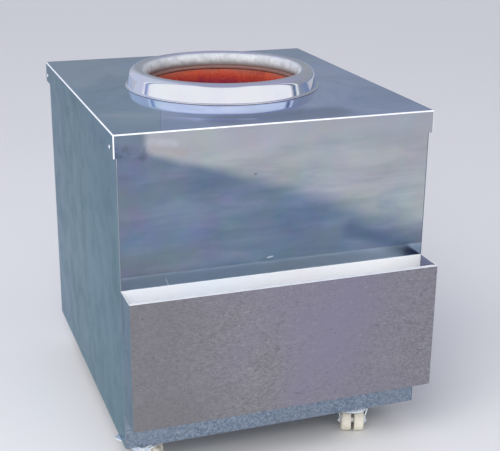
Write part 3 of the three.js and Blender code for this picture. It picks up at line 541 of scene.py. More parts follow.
def ring_steel():
    """The mouth ring: mirror-bright, dulled and browned by heat low on its inner side."""
    p = Paint("ring_steel", (0.75, 0.77, 0.82), 0.05, 1.0)
    radius = p.radius(AXIS)
    inward = p.span(radius, 0.226, 0.2135)
    low = p.span(p.z, COVER_TOP + 0.028, COVER_TOP + 0.012)
    dusty = p.span(p.z, COVER_TOP + 0.016, COVER_TOP + 0.006)
    cloud = p.noise(26, 5, 0.65, 1.0)
    clean = p.blend_of(p.span(p.noise(9, 3), 0.4, 0.7), (0.79, 0.81, 0.855), (0.745, 0.77, 0.835))
    film = p.node("ShaderNodeTexNoise", Vector=p.place, Scale=16.0, Detail=3.0, Roughness=0.5)
    clean = p.blend_of(0.38, clean, film.outputs[1], "SOFT_LIGHT")
    used = p.blend_of(p.span(cloud, 0.35, 0.65), (0.52, 0.54, 0.56), (0.74, 0.76, 0.79))
    p.color(p.blend_of(p.times(inward, 0.9), clean, used))
    burnt = p.times(inward, low)
    p.over(p.times(burnt, 0.85), 0.44, 0.37, 0.36)
    p.over(p.times(inward, dusty), 0.30, 0.10, 0.075)
    p.put(p.shader.inputs["Metallic"], p.calc("MULTIPLY_ADD", inward, -0.75, 1.0))
    smooth = p.span(p.noise(22, 5, 0.6), 0.3, 0.7, 0.03, 0.08)
    p.put(p.shader.inputs["Roughness"], p.calc("MULTIPLY_ADD", inward, 0.5, smooth))
    p.bump(p.noise(11, 2), 0.35 * MM)
    return p.bump(cloud, 0.02 * MM)


def clay():
    """Fired clay: orange-red round the mouth, deep red-brown below, with soot and hand marks."""
    p = Paint("clay", (0.4, 0.08, 0.04), 0.9)
    height = p.calc("SUBTRACT", p.z, COVER_TOP)
    around = p.noise(14, 5, 0.6, 0.5, at=p.stretched(1, 1, 0.25))
    depth = p.calc("MULTIPLY_ADD", p.calc("SUBTRACT", around, 0.5), 0.05, height)
    p.color(
        p.tones(
            p.span(depth, -0.30, 0.0, 0, 1, smooth=False),
            (0.0, 0.070, 0.014, 0.014),
            (0.55, 0.12, 0.012, 0.018),
            (0.80, 0.15, 0.012, 0.050),
            (0.87, 0.27, 0.020, 0.050),
            (0.92, 0.46, 0.045, 0.030),
            (0.98, 0.52, 0.085, 0.040),
            (1.0, 0.38, 0.085, 0.050),
        )
    )
    grit = p.noise(150, 5, 0.7)
    p.over(p.span(grit, 0.52, 0.68, 0, 0.55), 0.58, 0.15, 0.07)
    p.over(p.span(grit, 0.46, 0.32, 0, 0.5), 0.20, 0.020, 0.022)
    p.over(p.span(around, 0.52, 0.66, 0, 0.45), 0.24, 0.016, 0.024)
    rim = p.span(height, -0.018, -0.002)
    soot = p.times(rim, p.span(p.noise(20, 4), 0.35, 0.6))
    p.over(p.times(soot, 0.4), 0.26, 0.11, 0.09)
    p.rough(grit, 0.82, 0.97)
    p.bump(p.noise(9, 3, 0.5, at=p.stretched(1, 1, 2.5)), 2.0 * MM)
    return p.bump(grit, 0.35 * MM)


def seal_rope():
    """Woven heat-proof band, browned by smoke."""
    p = Paint("seal_rope", (0.4, 0.36, 0.32), 0.95, Sheen_Weight=0.15)
    weave = p.cells(260, feature="F1", out=0)
    tone = p.noise(24, 4, 0.6)
    p.color(
        p.tones(tone, (0.3, 0.22, 0.18, 0.15), (0.5, 0.36, 0.33, 0.30), (0.75, 0.52, 0.50, 0.46))
    )
    inner = p.span(p.radius(AXIS), 0.224, 0.207)
    p.over(inner, 0.20, 0.050, 0.035)
    p.over(p.span(weave, 0.3, 0.75, 0, 0.5), 0.12, 0.1, 0.09)
    p.rough(tone, 0.88, 0.98)
    return p.bump(weave, -0.9 * MM)


def cast_iron():
    p = Paint("cast_iron", (0.03, 0.028, 0.027), 0.7, 0.6)
    grit = p.noise(220, 5, 0.7)
    ash = p.noise(18, 5, 0.6, 0.6)
    p.color(p.blend_of(p.span(ash, 0.5, 0.72, 0, 0.7), (0.030, 0.028, 0.027), (0.22, 0.20, 0.185)))
    p.over(p.span(grit, 0.6, 0.72, 0, 0.5), 0.12, 0.05, 0.03)
    p.rough(grit, 0.6, 0.85)
    return p.bump(grit, 0.4 * MM)


def fire_brick():
    p = Paint("fire_brick", (0.45, 0.33, 0.22), 0.95)
    pores = p.cells(180, out=0)
    grain = p.noise(60, 5, 0.7)
    p.color(
        p.tones(grain, (0.3, 0.34, 0.24, 0.16), (0.55, 0.46, 0.34, 0.23), (0.8, 0.56, 0.44, 0.32))
    )
    soot = p.span(p.noise(5, 4), 0.35, 0.6, 0.25, 0.85)
    p.over(soot, 0.13, 0.11, 0.10)
    p.rough(grain, 0.88, 0.98)
    return p.bump(pores, 0.5 * MM)


def mineral_wool():
    p = Paint("mineral_wool", (0.47, 0.38, 0.19), 0.98, Sheen_Weight=0.3)
    fibre = p.noise(160, 6, 0.75, 3.0, at=p.stretched(1, 0.3, 1))
    lumps = p.noise(14, 4)
    p.color(
        p.tones(fibre, (0.3, 0.30, 0.23, 0.10), (0.5, 0.46, 0.38, 0.20), (0.72, 0.60, 0.52, 0.32))
    )
    p.over(p.span(lumps, 0.5, 0.7, 0, 0.4), 0.34, 0.27, 0.14)
    p.rough(fibre, 0.92, 1.0)
    p.bump(lumps, 4 * MM)
    return p.bump(fibre, 0.9 * MM)


def frame_paint():
    p = Paint("frame_paint", (0.045, 0.05, 0.055), 0.55)
    peel = p.noise(240, 3)
    worn = p.noise(30, 6, 0.75)
    p.color(p.blend_of(p.span(worn, 0.60, 0.72, 0, 0.7), (0.045, 0.05, 0.055), (0.10, 0.095, 0.09)))
    p.rough(worn, 0.45, 0.68)
    return p.bump(peel, 0.12 * MM)


def zinc_plate():
    """Bright zinc plating: pale, with a blue and faintly yellow passivation tint."""
    p = Paint("zinc_plate", (0.6, 0.65, 0.7), 0.26, 0.6)
    tint = p.noise(34, 3, 0.5, 0.6)
    p.color(
        p.tones(tint, (0.30, 0.56, 0.72, 0.90), (0.50, 0.76, 0.82, 0.90), (0.72, 0.86, 0.87, 0.86))
    )
    spots = p.noise(190, 5, 0.7)
    p.over(p.span(spots, 0.60, 0.72, 0, 0.5), 0.36, 0.40, 0.45)
    p.rough(spots, 0.18, 0.36)
    return p.bump(spots, 0.06 * MM)


def screw_steel():
    p = Paint("screw_steel", (0.62, 0.64, 0.67), 0.24, 0.5)
    tone = p.noise(260, 4, 0.6)
    p.color(p.blend_of(p.span(tone, 0.4, 0.7), (0.95, 0.96, 0.98), (0.62, 0.65, 0.70)))
    p.rough(tone, 0.18, 0.36)
    return p.bump(tone, 0.03 * MM)


def nylon():
    """Cream wheels, a little scuffed and dusty on the tread."""
    p = Paint("nylon", (0.80, 0.74, 0.62), 0.42, Subsurface_Weight=0.05, IOR=1.53)
    scuff = p.noise(160, 6, 0.7, 1.0)
    dirt = p.noise(40, 4, 0.6)
    p.color(p.blend_of(p.span(dirt, 0.45, 0.7, 0, 0.5), (0.86, 0.81, 0.69), (0.72, 0.65, 0.52)))
    p.over(p.span(scuff, 0.62, 0.72, 0, 0.5), 0.42, 0.37, 0.30)
    p.rough(scuff, 0.36, 0.6)
    return p.bump(scuff, 0.08 * MM)


def phenolic():
    p = Paint("phenolic", (0.012, 0.012, 0.013), 0.3, IOR=1.6)
    flow = p.noise(60, 4, 0.6, 1.0)
    p.color(p.blend_of(p.span(flow, 0.4, 0.7), (0.010, 0.010, 0.011), (0.022, 0.021, 0.020)))
    p.rough(p.noise(140, 4), 0.22, 0.40)
    return p.bump(flow, 0.04 * MM)


# ------------------------------------------------------------------ shapes


def finish_mesh(mesh, sharp):
    work = bmesh.new()
    work.from_mesh(mesh)
    bmesh.ops.remove_doubles(work, verts=work.verts, dist=1e-7)
    bmesh.ops.recalc_face_normals(work, faces=work.faces)
    work.to_mesh(mesh)
    work.free()
    mesh.polygons.foreach_set("use_smooth", [True] * len(mesh.polygons))
    mesh.set_sharp_from_angle(angle=math.radians(sharp))


def link(name, mesh):
    made = bpy.data.objects.new(name, mesh)
    bpy.context.scene.collection.objects.link(made)
    return made


def body_of_faces(name, points, faces, sharp=32):
    mesh = bpy.data.meshes.new(name)
    mesh.from_pydata([tuple(p) for p in points], [], faces)
    finish_mesh(mesh, sharp)
    return link(name, mesh)


def loft(name, loops, wrap=False, sharp=32):
    """A closed body through loops of as many points each. It is capped unless it wraps round."""
    n, count = len(loops[0]), len(loops)
    faces = []
    for i in range(count if wrap else count - 1):
        a, b = i * n, (i + 1) % count * n
        faces += [(a + k, a + (k + 1) % n, b + (k + 1) % n, b + k) for k in range(n)]
    if not wrap:
        faces += [tuple(range(n)), tuple(range((count - 1) * n, count * n))]
    return body_of_faces(name, [p for loop in loops for p in loop], faces, sharp)


def mm(*pairs):
    """Pairs of millimetres, in metres."""
    return [(a * MM, b * MM) for a, b in pairs]


def circle(radius, z, segments, centre=(0, 0)):
    cx, cy = centre[:2]
    return [
        (cx + radius * math.cos(TAU * i / segments), cy + radius * math.sin(TAU * i / segments), z)
        for i in range(segments)
    ]


def lathe(name, profile, segments, centre=(0, 0), wrap=True, sharp=32):
    """A body turned about +Z from a profile of (radius, height)."""
    return loft(name, [circle(r, z, segments, centre) for r, z in profile], wrap, sharp)


def rounded_rect(half_x, half_y, radius, per_corner=5, per_side=1):
    points = []
    corners = ((1, 1, 0), (-1, 1, 90), (-1, -1, 180), (1, -1, 270))
    arcs = []
    for sx, sy, start in corners:
        cx, cy = sx * (half_x - radius), sy * (half_y - radius)
        steps = [math.radians(start + 90 * i / per_corner) for i in range(per_corner + 1)]
        arcs.append([(cx + radius * math.cos(a), cy + radius * math.sin(a)) for a in steps])
    for i, arc in enumerate(arcs):
        points += arc
        (x0, y0), (x1, y1) = arc[-1], arcs[(i + 1) % 4][0]
        for k in range(1, per_side):
            t = k / per_side
            points.append((x0 + (x1 - x0) * t, y0 + (y1 - y0) * t))
    return points


def slab(name, lo, hi, bevel, segments=2):
    """A block with its edges rounded."""
    mesh = bpy.data.meshes.new(name)
    work = bmesh.new()
    bmesh.ops.create_cube(work, size=1)
    lo, hi = Vector(lo), Vector(hi)
    size, centre = hi - lo, (hi + lo) / 2
    for v in work.verts:
        v.co = Vector(v.co[i] * size[i] + centre[i] for i in range(3))
    bmesh.ops.bevel(
        work, geom=work.edges[:], offset=bevel, segments=segments, profile=0.5, affect="EDGES"
    )
    work.to_mesh(mesh)
    work.free()
    finish_mesh(mesh, 50)
    return weighted(link(name, mesh))


def weighted(piece):
    made = piece.modifiers.new("flat_faces", "WEIGHTED_NORMAL")
    made.keep_sharp = True
    made.weight = 100
    return piece


def plate(name, outline, holes, thickness, bevel, place):
    """A flat plate, from its outline and holes in its own XY plane, with rounded edges."""
    data = bpy.data.curves.new(name, "CURVE")
    data.dimensions = "2D"
    data.fill_mode = "BOTH"
    data.extrude = thickness / 2 - bevel
    data.bevel_depth = bevel
    data.bevel_resolution = 1
    data.offset = -bevel
    for points in (outline, *(h[::-1] for h in holes)):
        spline = data.splines.new("POLY")
        spline.points.add(len(points) - 1)
        for p, (x, y) in zip(spline.points, points):
            p.co = (x, y, 0, 1)
        spline.use_cyclic_u = True
    flat = bpy.data.objects.new(name + ".curve", data)
    bpy.context.scene.collection.objects.link(flat)
    bpy.context.view_layer.update()
    graph = bpy.context.evaluated_depsgraph_get()
    mesh = bpy.data.meshes.new_from_object(flat.evaluated_get(graph))
    bpy.data.objects.remove(flat)
    mesh.name = name
    mesh.transform(place)
    finish_mesh(mesh, 40)
    return weighted(link(name, mesh))


def carve(piece, cutter):
    """Cuts the cutter out of the piece for good, and removes the cutter."""
    cut = piece.modifiers.new("carve", "BOOLEAN")
    cut.operation = "DIFFERENCE"
    cut.solver = "EXACT"
    cut.object = cutter
    bpy.context.view_layer.update()
    graph = bpy.context.evaluated_depsgraph_get()
    mesh = bpy.data.meshes.new_from_object(piece.evaluated_get(graph))
    piece.modifiers.remove(cut)
    old, name = piece.data, piece.name
    piece.data = mesh
    bpy.data.meshes.remove(old)
    mesh.name = name
    bpy.data.objects.remove(cutter)
    return piece


def merge(name, pieces):
    """One object from several. Each keeps its own materials."""
    bpy.context.view_layer.update()
    work = bmesh.new()
    materials = []
    for piece in pieces:
        start = len(work.faces)
        mesh = piece.data
        mesh.transform(piece.matrix_world)
        work.from_mesh(mesh)
        work.faces.ensure_lookup_table()
        own = list(mesh.materials) or [None]
        for m in own:
            if m not in materials:
                materials.append(m)
        for face in work.faces[start:]:
            face.material_index = materials.index(own[face.material_index])
    whole = bpy.data.meshes.new(name)
    work.to_mesh(whole)
    work.free()
    for m in materials:
        if m:
            whole.materials.append(m)
    for piece in pieces:
        bpy.data.objects.remove(piece)
    return link(name, whole)


def coat(piece, paint):
    """Gives the whole piece one material."""
    piece.data.materials.clear()
    piece.data.materials.append(paint.material)
    return piece


def coat_faces(piece, rules):
    """Gives each face the first paint whose test passes on its centre and normal."""
    piece.data.materials.clear()
    for paint, _ in rules:
        piece.data.materials.append(paint.material)
    for face in piece.data.polygons:
        for i, (_, test) in enumerate(rules):
            if test(face.center, face.normal):
                face.material_index = i
                break
    return piece


def set_down(piece, matrix):
    """Moves the mesh itself, so that the object stays at the origin."""
    piece.data.transform(matrix)
    return piece


def middle_of(node):
    lo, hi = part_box(node)
    return (lo + hi) / 2


def pointing(outward, place):
    """Where a body turned about +Z goes, to stand at place and point outward."""
    turn = Vector(outward).to_track_quat("Z", "Y").to_matrix().to_4x4()
    return Matrix.Translation(place) @ turn


def upright(x):
    """Where a plate drawn in (y, z) goes, to stand across X at x."""
    return Matrix(((0, 0, 1, x), (1, 0, 0, 0), (0, 1, 0, 0), (0, 0, 0, 1)))


def stand_for(piece, body, slot, *nodes):
    """Puts the piece in its nodes' place. A bare piece gets the paint named like its slot."""
    if not any(piece.data.materials):
        coat(piece, P[slot])
    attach(piece, body)
    if nodes:
        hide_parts(*nodes)
    return piece


def hexagon(across, z, segments=48, round_at=None):
    """A hexagon's loop, cut back to a circle where the corners are chamfered."""
    loop = []
    for i in range(segments):
        a = TAU * i / segments
        r = across / 2 / math.cos((a + math.pi / 6) % (math.pi / 3) - math.pi / 6)
        if round_at:
            r = min(r, round_at)
        loop.append((r * math.cos(a), r * math.sin(a), z))
    return loop


def hex_nut(name, across, height, foot=0.0):
    face, corner = across / 2 * 0.98, across / 2 / math.cos(math.pi / 6)
    rise = height * 0.14
    loops = [
        hexagon(across, foot, round_at=face),
        hexagon(across, foot + rise, round_at=corner * 1.001),
        hexagon(across, foot + height - rise, round_at=corner * 1.001),
        hexagon(across, foot + height, round_at=face),
    ]
    return loft(name, loops, sharp=20)


# ------------------------------------------------------------------ cabinet

PAINTS = (
    front_steel, side_steel, lid_steel, box_steel, box_side_steel, bright_inside, edge_steel,
    galvanised, ring_steel, clay, seal_rope, cast_iron, fire_brick, mineral_wool, frame_paint,
    zinc_plate, screw_steel, nylon, phenolic,
)
P = {make.__name__: make() for make in PAINTS}


def add_cover():
    """The folded cover: a flat top with a round hole, a soft fold and a hanging flange."""
    half_x, half_y = (cover_hi.x - cover_lo.x) / 2, (cover_hi.y - cover_lo.y) / 2
    top, foot = cover_hi.z, cover_lo.z
    fold, corner, hole = 3.4 * MM, 3.0 * MM, 242 * MM
    steps = 5

    def rect(inset, z):
        r = max(corner - inset, 0.6 * MM)
        flat = rounded_rect(half_x - inset, half_y - inset, r, 4, 30)
        return [(AXIS.x + x, AXIS.y + y, z) for x, y in flat]

    def ring(radius, z):
        flat = rounded_rect(half_x - fold, half_y - fold, 0.6 * MM, 4, 30)
        spots = []
        for x, y in flat:
            away = math.hypot(x, y)
            spots.append((AXIS.x + x / away * radius, AXIS.y + y / away * radius, z))
        return spots

    loops = [ring(hole, top - 0.3 * MM), ring(hole + 0.3 * MM, top)]
    for i in range(steps + 1):
        a = math.pi / 2 * i / steps
        loops.append(rect(fold - fold * math.sin(a), top - fold + fold * math.cos(a)))
    inner = fold - SHEET
    loops += [
        rect(0, foot + 0.6 * MM),
        rect(0.25 * MM, foot + 0.1 * MM),
        rect(SHEET - 0.25 * MM, foot + 0.1 * MM),
        rect(SHEET, foot + 0.6 * MM),
    ]
    for i in range(steps + 1):
        a = math.pi / 2 * (1 - i / steps)
        loops.append(rect(fold - inner * math.sin(a), top - fold + inner * math.cos(a)))
    loops += [ring(hole + 0.3 * MM, top - SHEET), ring(hole, top - SHEET + 0.3 * MM)]
    cover = weighted(loft("cover_sheet", loops, wrap=True))

    def fronts(c, n):
        return c.y < AXIS.y - half_y + 4 * MM and n.y < -0.5 and c.z < top - 1 * MM

    def tops(c, n):
        return n.z > 0.4 or n.z < -0.9

    def folds(c, n):
        bent = 0.12 < n.z < 0.985
        turned = min(abs(n.x), abs(n.y)) > 0.12
        return bent or (turned and abs(n.z) < 0.5)

    rules = [(P["edge_steel"], folds), (P["front_steel"], fronts), (P["lid_steel"], tops)]
    coat_faces(cover, [*rules, (P["side_steel"], lambda c, n: True)])
    stand_for(cover, "cabinet", "cabinet_steel", "top_cover")


def add_panels():
    for node, paint in (
        ("left_panel", "side_steel"),
        ("back_panel", "side_steel"),
        ("front_panel", "front_steel"),
    ):
        piece = slab(node + "_sheet", *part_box(node), 0.45 * MM)
        thin = 0 if node == "left_panel" else 1

        def rim(c, n):
            return abs(n[thin]) < 0.9

        coat_faces(piece, [(P["edge_steel"], rim), (P[paint], lambda c, n: True)])
        stand_for(piece, "cabinet", "cabinet_steel", node)

    piece = slab("lower_front_sheet", *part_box("lower_front_panel"), 0.45 * MM)
    stand_for(piece, "cabinet", "galvanised", "lower_front_panel")

    lo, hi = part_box("right_panel")
    duct_lo, duct_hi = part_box("air_duct")
    wall = 2 * MM
    outline = [(lo.y, lo.z), (hi.y, lo.z), (hi.y, hi.z), (lo.y, hi.z)]
    half_y, half_z = (duct_hi.y - duct_lo.y) / 2 - wall, (duct_hi.z - duct_lo.z) / 2 - wall
    mid = middle_of("air_duct")
    hole = [(mid.y + y, mid.z + z) for y, z in rounded_rect(half_y, half_z, 2.5 * MM)]
    place = upright((lo.x + hi.x) / 2)
    piece = plate("right_panel_sheet", outline, [hole], SHEET, 0.4 * MM, place)
    stand_for(coat(piece, P["side_steel"]), "cabinet", "cabinet_steel", "right_panel")


def screw(name, outward, place, shank):
    """A pan-head screw with a cross recess. outward is the way its head faces."""
    profile = [(0.4, -shank), (1.8, -shank), (2.4, 1 - shank), (2.4, 0), (4.9, 0), (5, 0.5)]
    profile += [(4.8, 1.4), (4.1, 2.1), (2.8, 2.5), (0.4, 2.6)]
    head = lathe(name, mm(*profile), 40, wrap=False)
    for turn in (12, 102):
        slot = slab("slot", (-0.0024, -0.00045, 0.0014), (0.0024, 0.00045, 0.004), 0.0002, 1)
        slot.data.transform(Matrix.Rotation(math.radians(turn), 4, "Z"))
        carve(head, slot)
    head.data.set_sharp_from_angle(angle=math.radians(32))
    return set_down(head, pointing(outward, place))


def add_screws():
    for end in ("front", "rear"):
        for side, way in (("left", -1), ("right", 1)):
            node = f"cover_screw_{end}_{side}"
            place = middle_of(node)
            place.x = cover_lo.x - 0.3 * MM if way < 0 else cover_hi.x + 0.3 * MM
            piece = screw(f"{node}_detail", (way, 0, 0), place, 9)
            stand_for(piece, "cabinet", "screw_steel", node)
    for i in range(1, 5):
        node = f"box_screw_{i}"
        place = middle_of(node)
        place.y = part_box(node)[0].y + 2.6 * MM
        piece = screw(f"{node}_detail", (0, -1, 0), place, 6)
        stand_for(piece, "cabinet", "screw_steel", node)


def add_front_box():
    """A folded open-topped box, with a return lip along its front edge."""
    lo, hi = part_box("front_box")
    half_x, half_y = (hi.x - lo.x) / 2, (hi.y - lo.y) / 2
    mx, my = (hi.x + lo.x) / 2, (hi.y + lo.y) / 2
    fold, corner = 2.2 * MM, 1.8 * MM

    def rect(inset, z):
        r = max(corner - inset, 0.4 * MM)
        flat = rounded_rect(half_x - inset, half_y - inset, r, 4, 2)
        return [(mx + x, my + y, z) for x, y in flat]

    loops = []
    for i in range(5):
        a = math.pi / 2 * i / 4
        loops.append(rect(fold - fold * math.sin(a), lo.z + fold - fold * math.cos(a)))
    loops += [
        rect(0, hi.z - 0.5 * MM),
        rect(0.35 * MM, hi.z),
        rect(SHEET - 0.35 * MM, hi.z),
        rect(SHEET, hi.z - 0.5 * MM),
    ]
    inner = fold - SHEET
    for i in range(4):
        a = math.pi / 2 * (1 - i / 3)
        loops.append(rect(fold - inner * math.sin(a), lo.z + fold - inner * math.cos(a)))
    shell = loft("front_box_shell", loops)

    def inside(c, n):
        return (
            lo.x + SHEET * 0.7 < c.x < hi.x - SHEET * 0.7
            and lo.y + SHEET * 0.7 < c.y < hi.y - SHEET * 0.7
            and c.z > lo.z + SHEET * 0.7
            and not (n.z > 0.7 and c.z > hi.z - 0.01)
        )

    def end(c, n):
        return abs(n.x) > 0.7

    def right_end(c, n):
        return inside(c, n) and n.x < -0.5

    coat_faces(
        shell,
        [
            (P["edge_steel"], lambda c, n: n.z > 0.3 and c.z > hi.z - 0.003),
            (P["box_side_steel"], right_end),
            (P["bright_inside"], inside),
            (P["box_side_steel"], end),
            (P["box_steel"], lambda c, n: True),
        ],
    )

    reach = 12 * MM
    left, right = lo.x + 0.8 * MM, hi.x - 0.8 * MM
    front, back = lo.y + 0.8 * MM, lo.y + reach
    outline = [(left, front), (right, front), (right, back - 6 * MM), (right - 9 * MM, back)]
    for spot in (at(260.3, 0, 0).x, at(-338.7, 0, 0).x):
        outline += [
            (spot + 6 * MM, back),
            (spot + 3 * MM, back - 3.5 * MM),
            (spot - 2 * MM, back - 4 * MM),
            (spot - 5 * MM, back),
        ]
    outline += [(left + 9 * MM, back), (left, back - 6 * MM)]
    place = Matrix.Translation((0, 0, hi.z - SHEET / 2))
    lip = plate("front_box_lip", outline, [], SHEET, 0.4 * MM, place)
    lip.modifiers.clear()
    coat(lip, P["edge_steel"])
    whole = weighted(merge("front_box_sheet", [shell, lip]))
    stand_for(whole, "cabinet", "box_steel", "front_box")


# ------------------------------------------------------------------ ring, pot and fire


def add_ring():
    """The rolled ring: a round top, a side that leans out to its foot, and a narrow flange."""
    tube, pitch, crest, sheet, edge_r = 24.0, 234.5, 49.88, 2.0, 269.0
    middle, lean, bend, foot = crest - tube, math.radians(10), 4.0, 0.3

    def arc(r, steps=34):
        out = []
        for i in range(steps + 1):
            a = lean + (math.pi * 1.25 - lean) * i / steps
            out.append((pitch + r * math.cos(a), middle + r * math.sin(a)))
        return out

    def side(r_at, lift):
        """From the flange in to the foot of the side and up it."""
        base = r_at(lift)
        out = []
        for i in range(7):
            a = (math.pi / 2 - lean) * i / 6
            out.append((base + bend * (1 - math.sin(a)), lift + bend * (1 - math.cos(a))))
        return out

    outer, inner = arc(tube), arc(tube - sheet)[::-1]
    (side_r, side_z), (in_r, in_z) = outer[0], inner[-1]
    outside = side(lambda z: side_r + (side_z - z) * math.tan(lean), foot + sheet)
    inside = side(lambda z: in_r + (in_z - z) * math.tan(lean), foot)[::-1]
    top = [(edge_r, foot + 0.5), (edge_r - 0.4, foot + 1.6), (edge_r - 1.2, foot + sheet)]
    low_r = outer[-1][0]
    edge = [(low_r - 1, 6.3), (low_r - 0.4, 6.0), (low_r + 0.5, 6.0), (low_r + 1, 6.5)]
    profile = top + outside + outer + edge + inner + inside + [(edge_r - 1, foot)]
    profile = [(r * MM, COVER_TOP + z * MM) for r, z in profile]
    ring = lathe("mouth_ring_steel", profile, 200, AXIS, sharp=50)
    stand_for(ring, "cabinet", "ring_steel", "mouth_ring")


def pot_profile():
    """The pot's outside and inside radii at each of its CAD heights."""
    levels = {}
    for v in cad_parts["clay_pot"].data.vertices:
        r = math.hypot(v.co.x - AXIS.x, v.co.y - AXIS.y)
        a = math.atan2(v.co.y - AXIS.y, v.co.x - AXIS.x)
        if abs(a) < 0.6:
            continue
        levels.setdefault(round(v.co.z, 5), []).append(r)
    heights = sorted(z for z, rs in levels.items() if len(rs) > 20)
    return heights, [max(levels[z]) for z in heights], [min(levels[z]) for z in heights]


def smooth_curve(xs, ys, at_xs):
    """A monotone-tangent cubic through the points."""
    xs, ys = np.array(xs), np.array(ys)
    slope = np.gradient(ys, xs)
    out = []
    for x in at_xs:
        i = min(max(int(np.searchsorted(xs, x)) - 1, 0), len(xs) - 2)
        h = xs[i + 1] - xs[i]
        t = (x - xs[i]) / h
        a, b = 2 * t**3 - 3 * t**2 + 1, t**3 - 2 * t**2 + t
        c, d = -2 * t**3 + 3 * t**2, t**3 - t**2
        out.append(a * ys[i] + b * h * slope[i] + c * ys[i + 1] + d * h * slope[i + 1])
    return out


def add_pot():
    """The hand-built pot, a little uneven, with a rounded rim and the air hole in its side."""
    heights, outer, inner = pot_profile()
    rows = list(np.linspace(heights[0], heights[-1] - 4 * MM, 40))
    out_r = smooth_curve(heights, outer, rows)
    in_r = smooth_curve(heights, inner, rows)
    top = heights[-1]
    segments = 144

    def uneven(a, z):
        return (
            math.sin(3 * a + 9 * z) * 0.7
            + math.sin(7 * a - 23 * z + 1.3) * 0.45
            + math.sin(2 * a + 46 * z + 0.6) * 0.5
        ) * MM

    def loop(r, z, rough):
        spots = []
        for i in range(segments):
            a = TAU * i / segments
            rr = r + rough * uneven(a, z)
            spots.append((AXIS.x + rr * math.cos(a), AXIS.y + rr * math.sin(a), z))
        return spots

    loops = [loop(r - 1.2 * MM, z, 0.3) for r, z in zip(out_r, rows)]
    rim_out, rim_in = out_r[-1] - 1.2 * MM, in_r[-1]
    loops += [
        loop(rim_out - 1.2 * MM, top - 1.2 * MM, 0.3),
        loop(rim_out - 4 * MM, top, 0.2),
        loop(rim_in + 5 * MM, top, 0.4),
        loop(rim_in + 1.5 * MM, top - 1.5 * MM, 0.8),
    ]
    loops += [loop(r, z, 1.0) for r, z in reversed(list(zip(in_r, rows)))]
    pot = loft("tandoor_pot", loops, wrap=True, sharp=60)
    duct_lo, duct_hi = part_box("air_duct")
    grow = 1 * MM
    cutter = slab(
        "duct_space",
        (AXIS.x + 0.2, duct_lo.y - grow, duct_lo.z - grow),
        (AXIS.x + 0.4, duct_hi.y + grow, duct_hi.z + grow),
        3 * MM,
        3,
    )
    cutter.modifiers.clear()
    carve(pot, cutter)
    pot.data.set_sharp_from_angle(angle=math.radians(45))
    stand_for(pot, "cabinet", "clay", "clay_pot")

    lo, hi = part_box("rim_seal")
    a, b = 206.0 * MM, (hi.x - lo.x) / 2
    z0, z1 = lo.z, hi.z
    mid = (z0 + z1) / 2
    swell = [(a + 2 * MM, z0), (b - 2 * MM, z0), (b, z0 + 1 * MM), (b, z1 - 1 * MM)]
    swell += [(b - 2 * MM, z1), (a + 3 * MM, z1), (a + 0.6 * MM, z1 - 1 * MM), (a, mid)]
    swell += [(a + 0.6 * MM, z0 + 1 * MM)]
    seal = lathe("rim_seal_band", swell, 160, AXIS, sharp=60)
    stand_for(seal, "cabinet", "seal_rope", "rim_seal")


def add_grate():
    lo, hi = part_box("charcoal_grate")
    top = hi.z
    thick, bar, rim, count = 12 * MM, 12 * MM, 18 * MM, 7
    radius = (hi.x - lo.x) / 2
    r = 2.2 * MM
    profile = []
    corners = (
        (radius - rim, top - thick, 180),
        (radius, top - thick, 270),
        (radius, top, 0),
        (radius - rim, top, 90),
    )
    for cr, cz, start in corners:
        sr = 1 if cr == radius else -1
        sz = 1 if cz == top else -1
        for i in range(4):
            a = math.radians(start + 30 * i)
            x = cr - sr * r + r * math.cos(a)
            profile.append((x, cz - sz * r + r * math.sin(a)))
    pieces = [lathe("grate_rim", profile, 96, AXIS, sharp=40)]
    middle = radius - rim / 2
    pitch = 2 * middle / (count + 1)
    for i in range(count):
        x = (i - (count - 1) / 2) * pitch
        reach = math.sqrt(middle**2 - (abs(x) + bar / 2) ** 2)
        low = (AXIS.x + x - bar / 2, AXIS.y - reach, top - thick)
        high = (AXIS.x + x + bar / 2, AXIS.y + reach, top)
        pieces.append(slab(f"grate_bar_{i}", low, high, r, 3))
    leg, away = 18 * MM, middle * math.sqrt(0.5)
    for sx in (-1, 1):
        for sy in (-1, 1):
            x, y = AXIS.x + sx * away, AXIS.y + sy * away
            low = (x - leg / 2, y - leg / 2, lo.z)
            high = (x + leg / 2, y + leg / 2, top - thick + 1 * MM)
            pieces.append(slab(f"grate_leg_{sx}_{sy}", low, high, 2.5 * MM, 3))
    for piece in pieces:
        piece.modifiers.clear()
    grate = weighted(merge("grate_casting", pieces))
    stand_for(grate, "cabinet", "cast_iron", "charcoal_grate")


def add_wool():
    """Loose wool packed round the pot: the CAD space, remeshed, drawn in a little and lumpy."""
    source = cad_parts["insulation_fill"]
    piece = link("wool_packing", source.data.copy())
    remesh = piece.modifiers.new("remesh", "REMESH")
    remesh.mode = "VOXEL"
    remesh.voxel_size = 16 * MM
    bpy.context.view_layer.update()
    graph = bpy.context.evaluated_depsgraph_get()
    mesh = bpy.data.meshes.new_from_object(piece.evaluated_get(graph))
    piece.modifiers.clear()
    piece.data = mesh
    mesh.name = "wool_packing"
    for v in mesh.vertices:
        c = v.co
        lump = (
            math.sin(c.x * 61 + c.z * 17) * math.sin(c.y * 53 - c.z * 29)
            + 0.6 * math.sin(c.x * 131 + c.y * 97 + c.z * 113)
        )
        v.co = c - v.normal * (3.4 + 1.6 * lump) * MM
    finish_mesh(mesh, 80)
    stand_for(coat(piece, P["mineral_wool"]), "cabinet", "mineral_wool", "insulation_fill")


# ------------------------------------------------------------------ damper


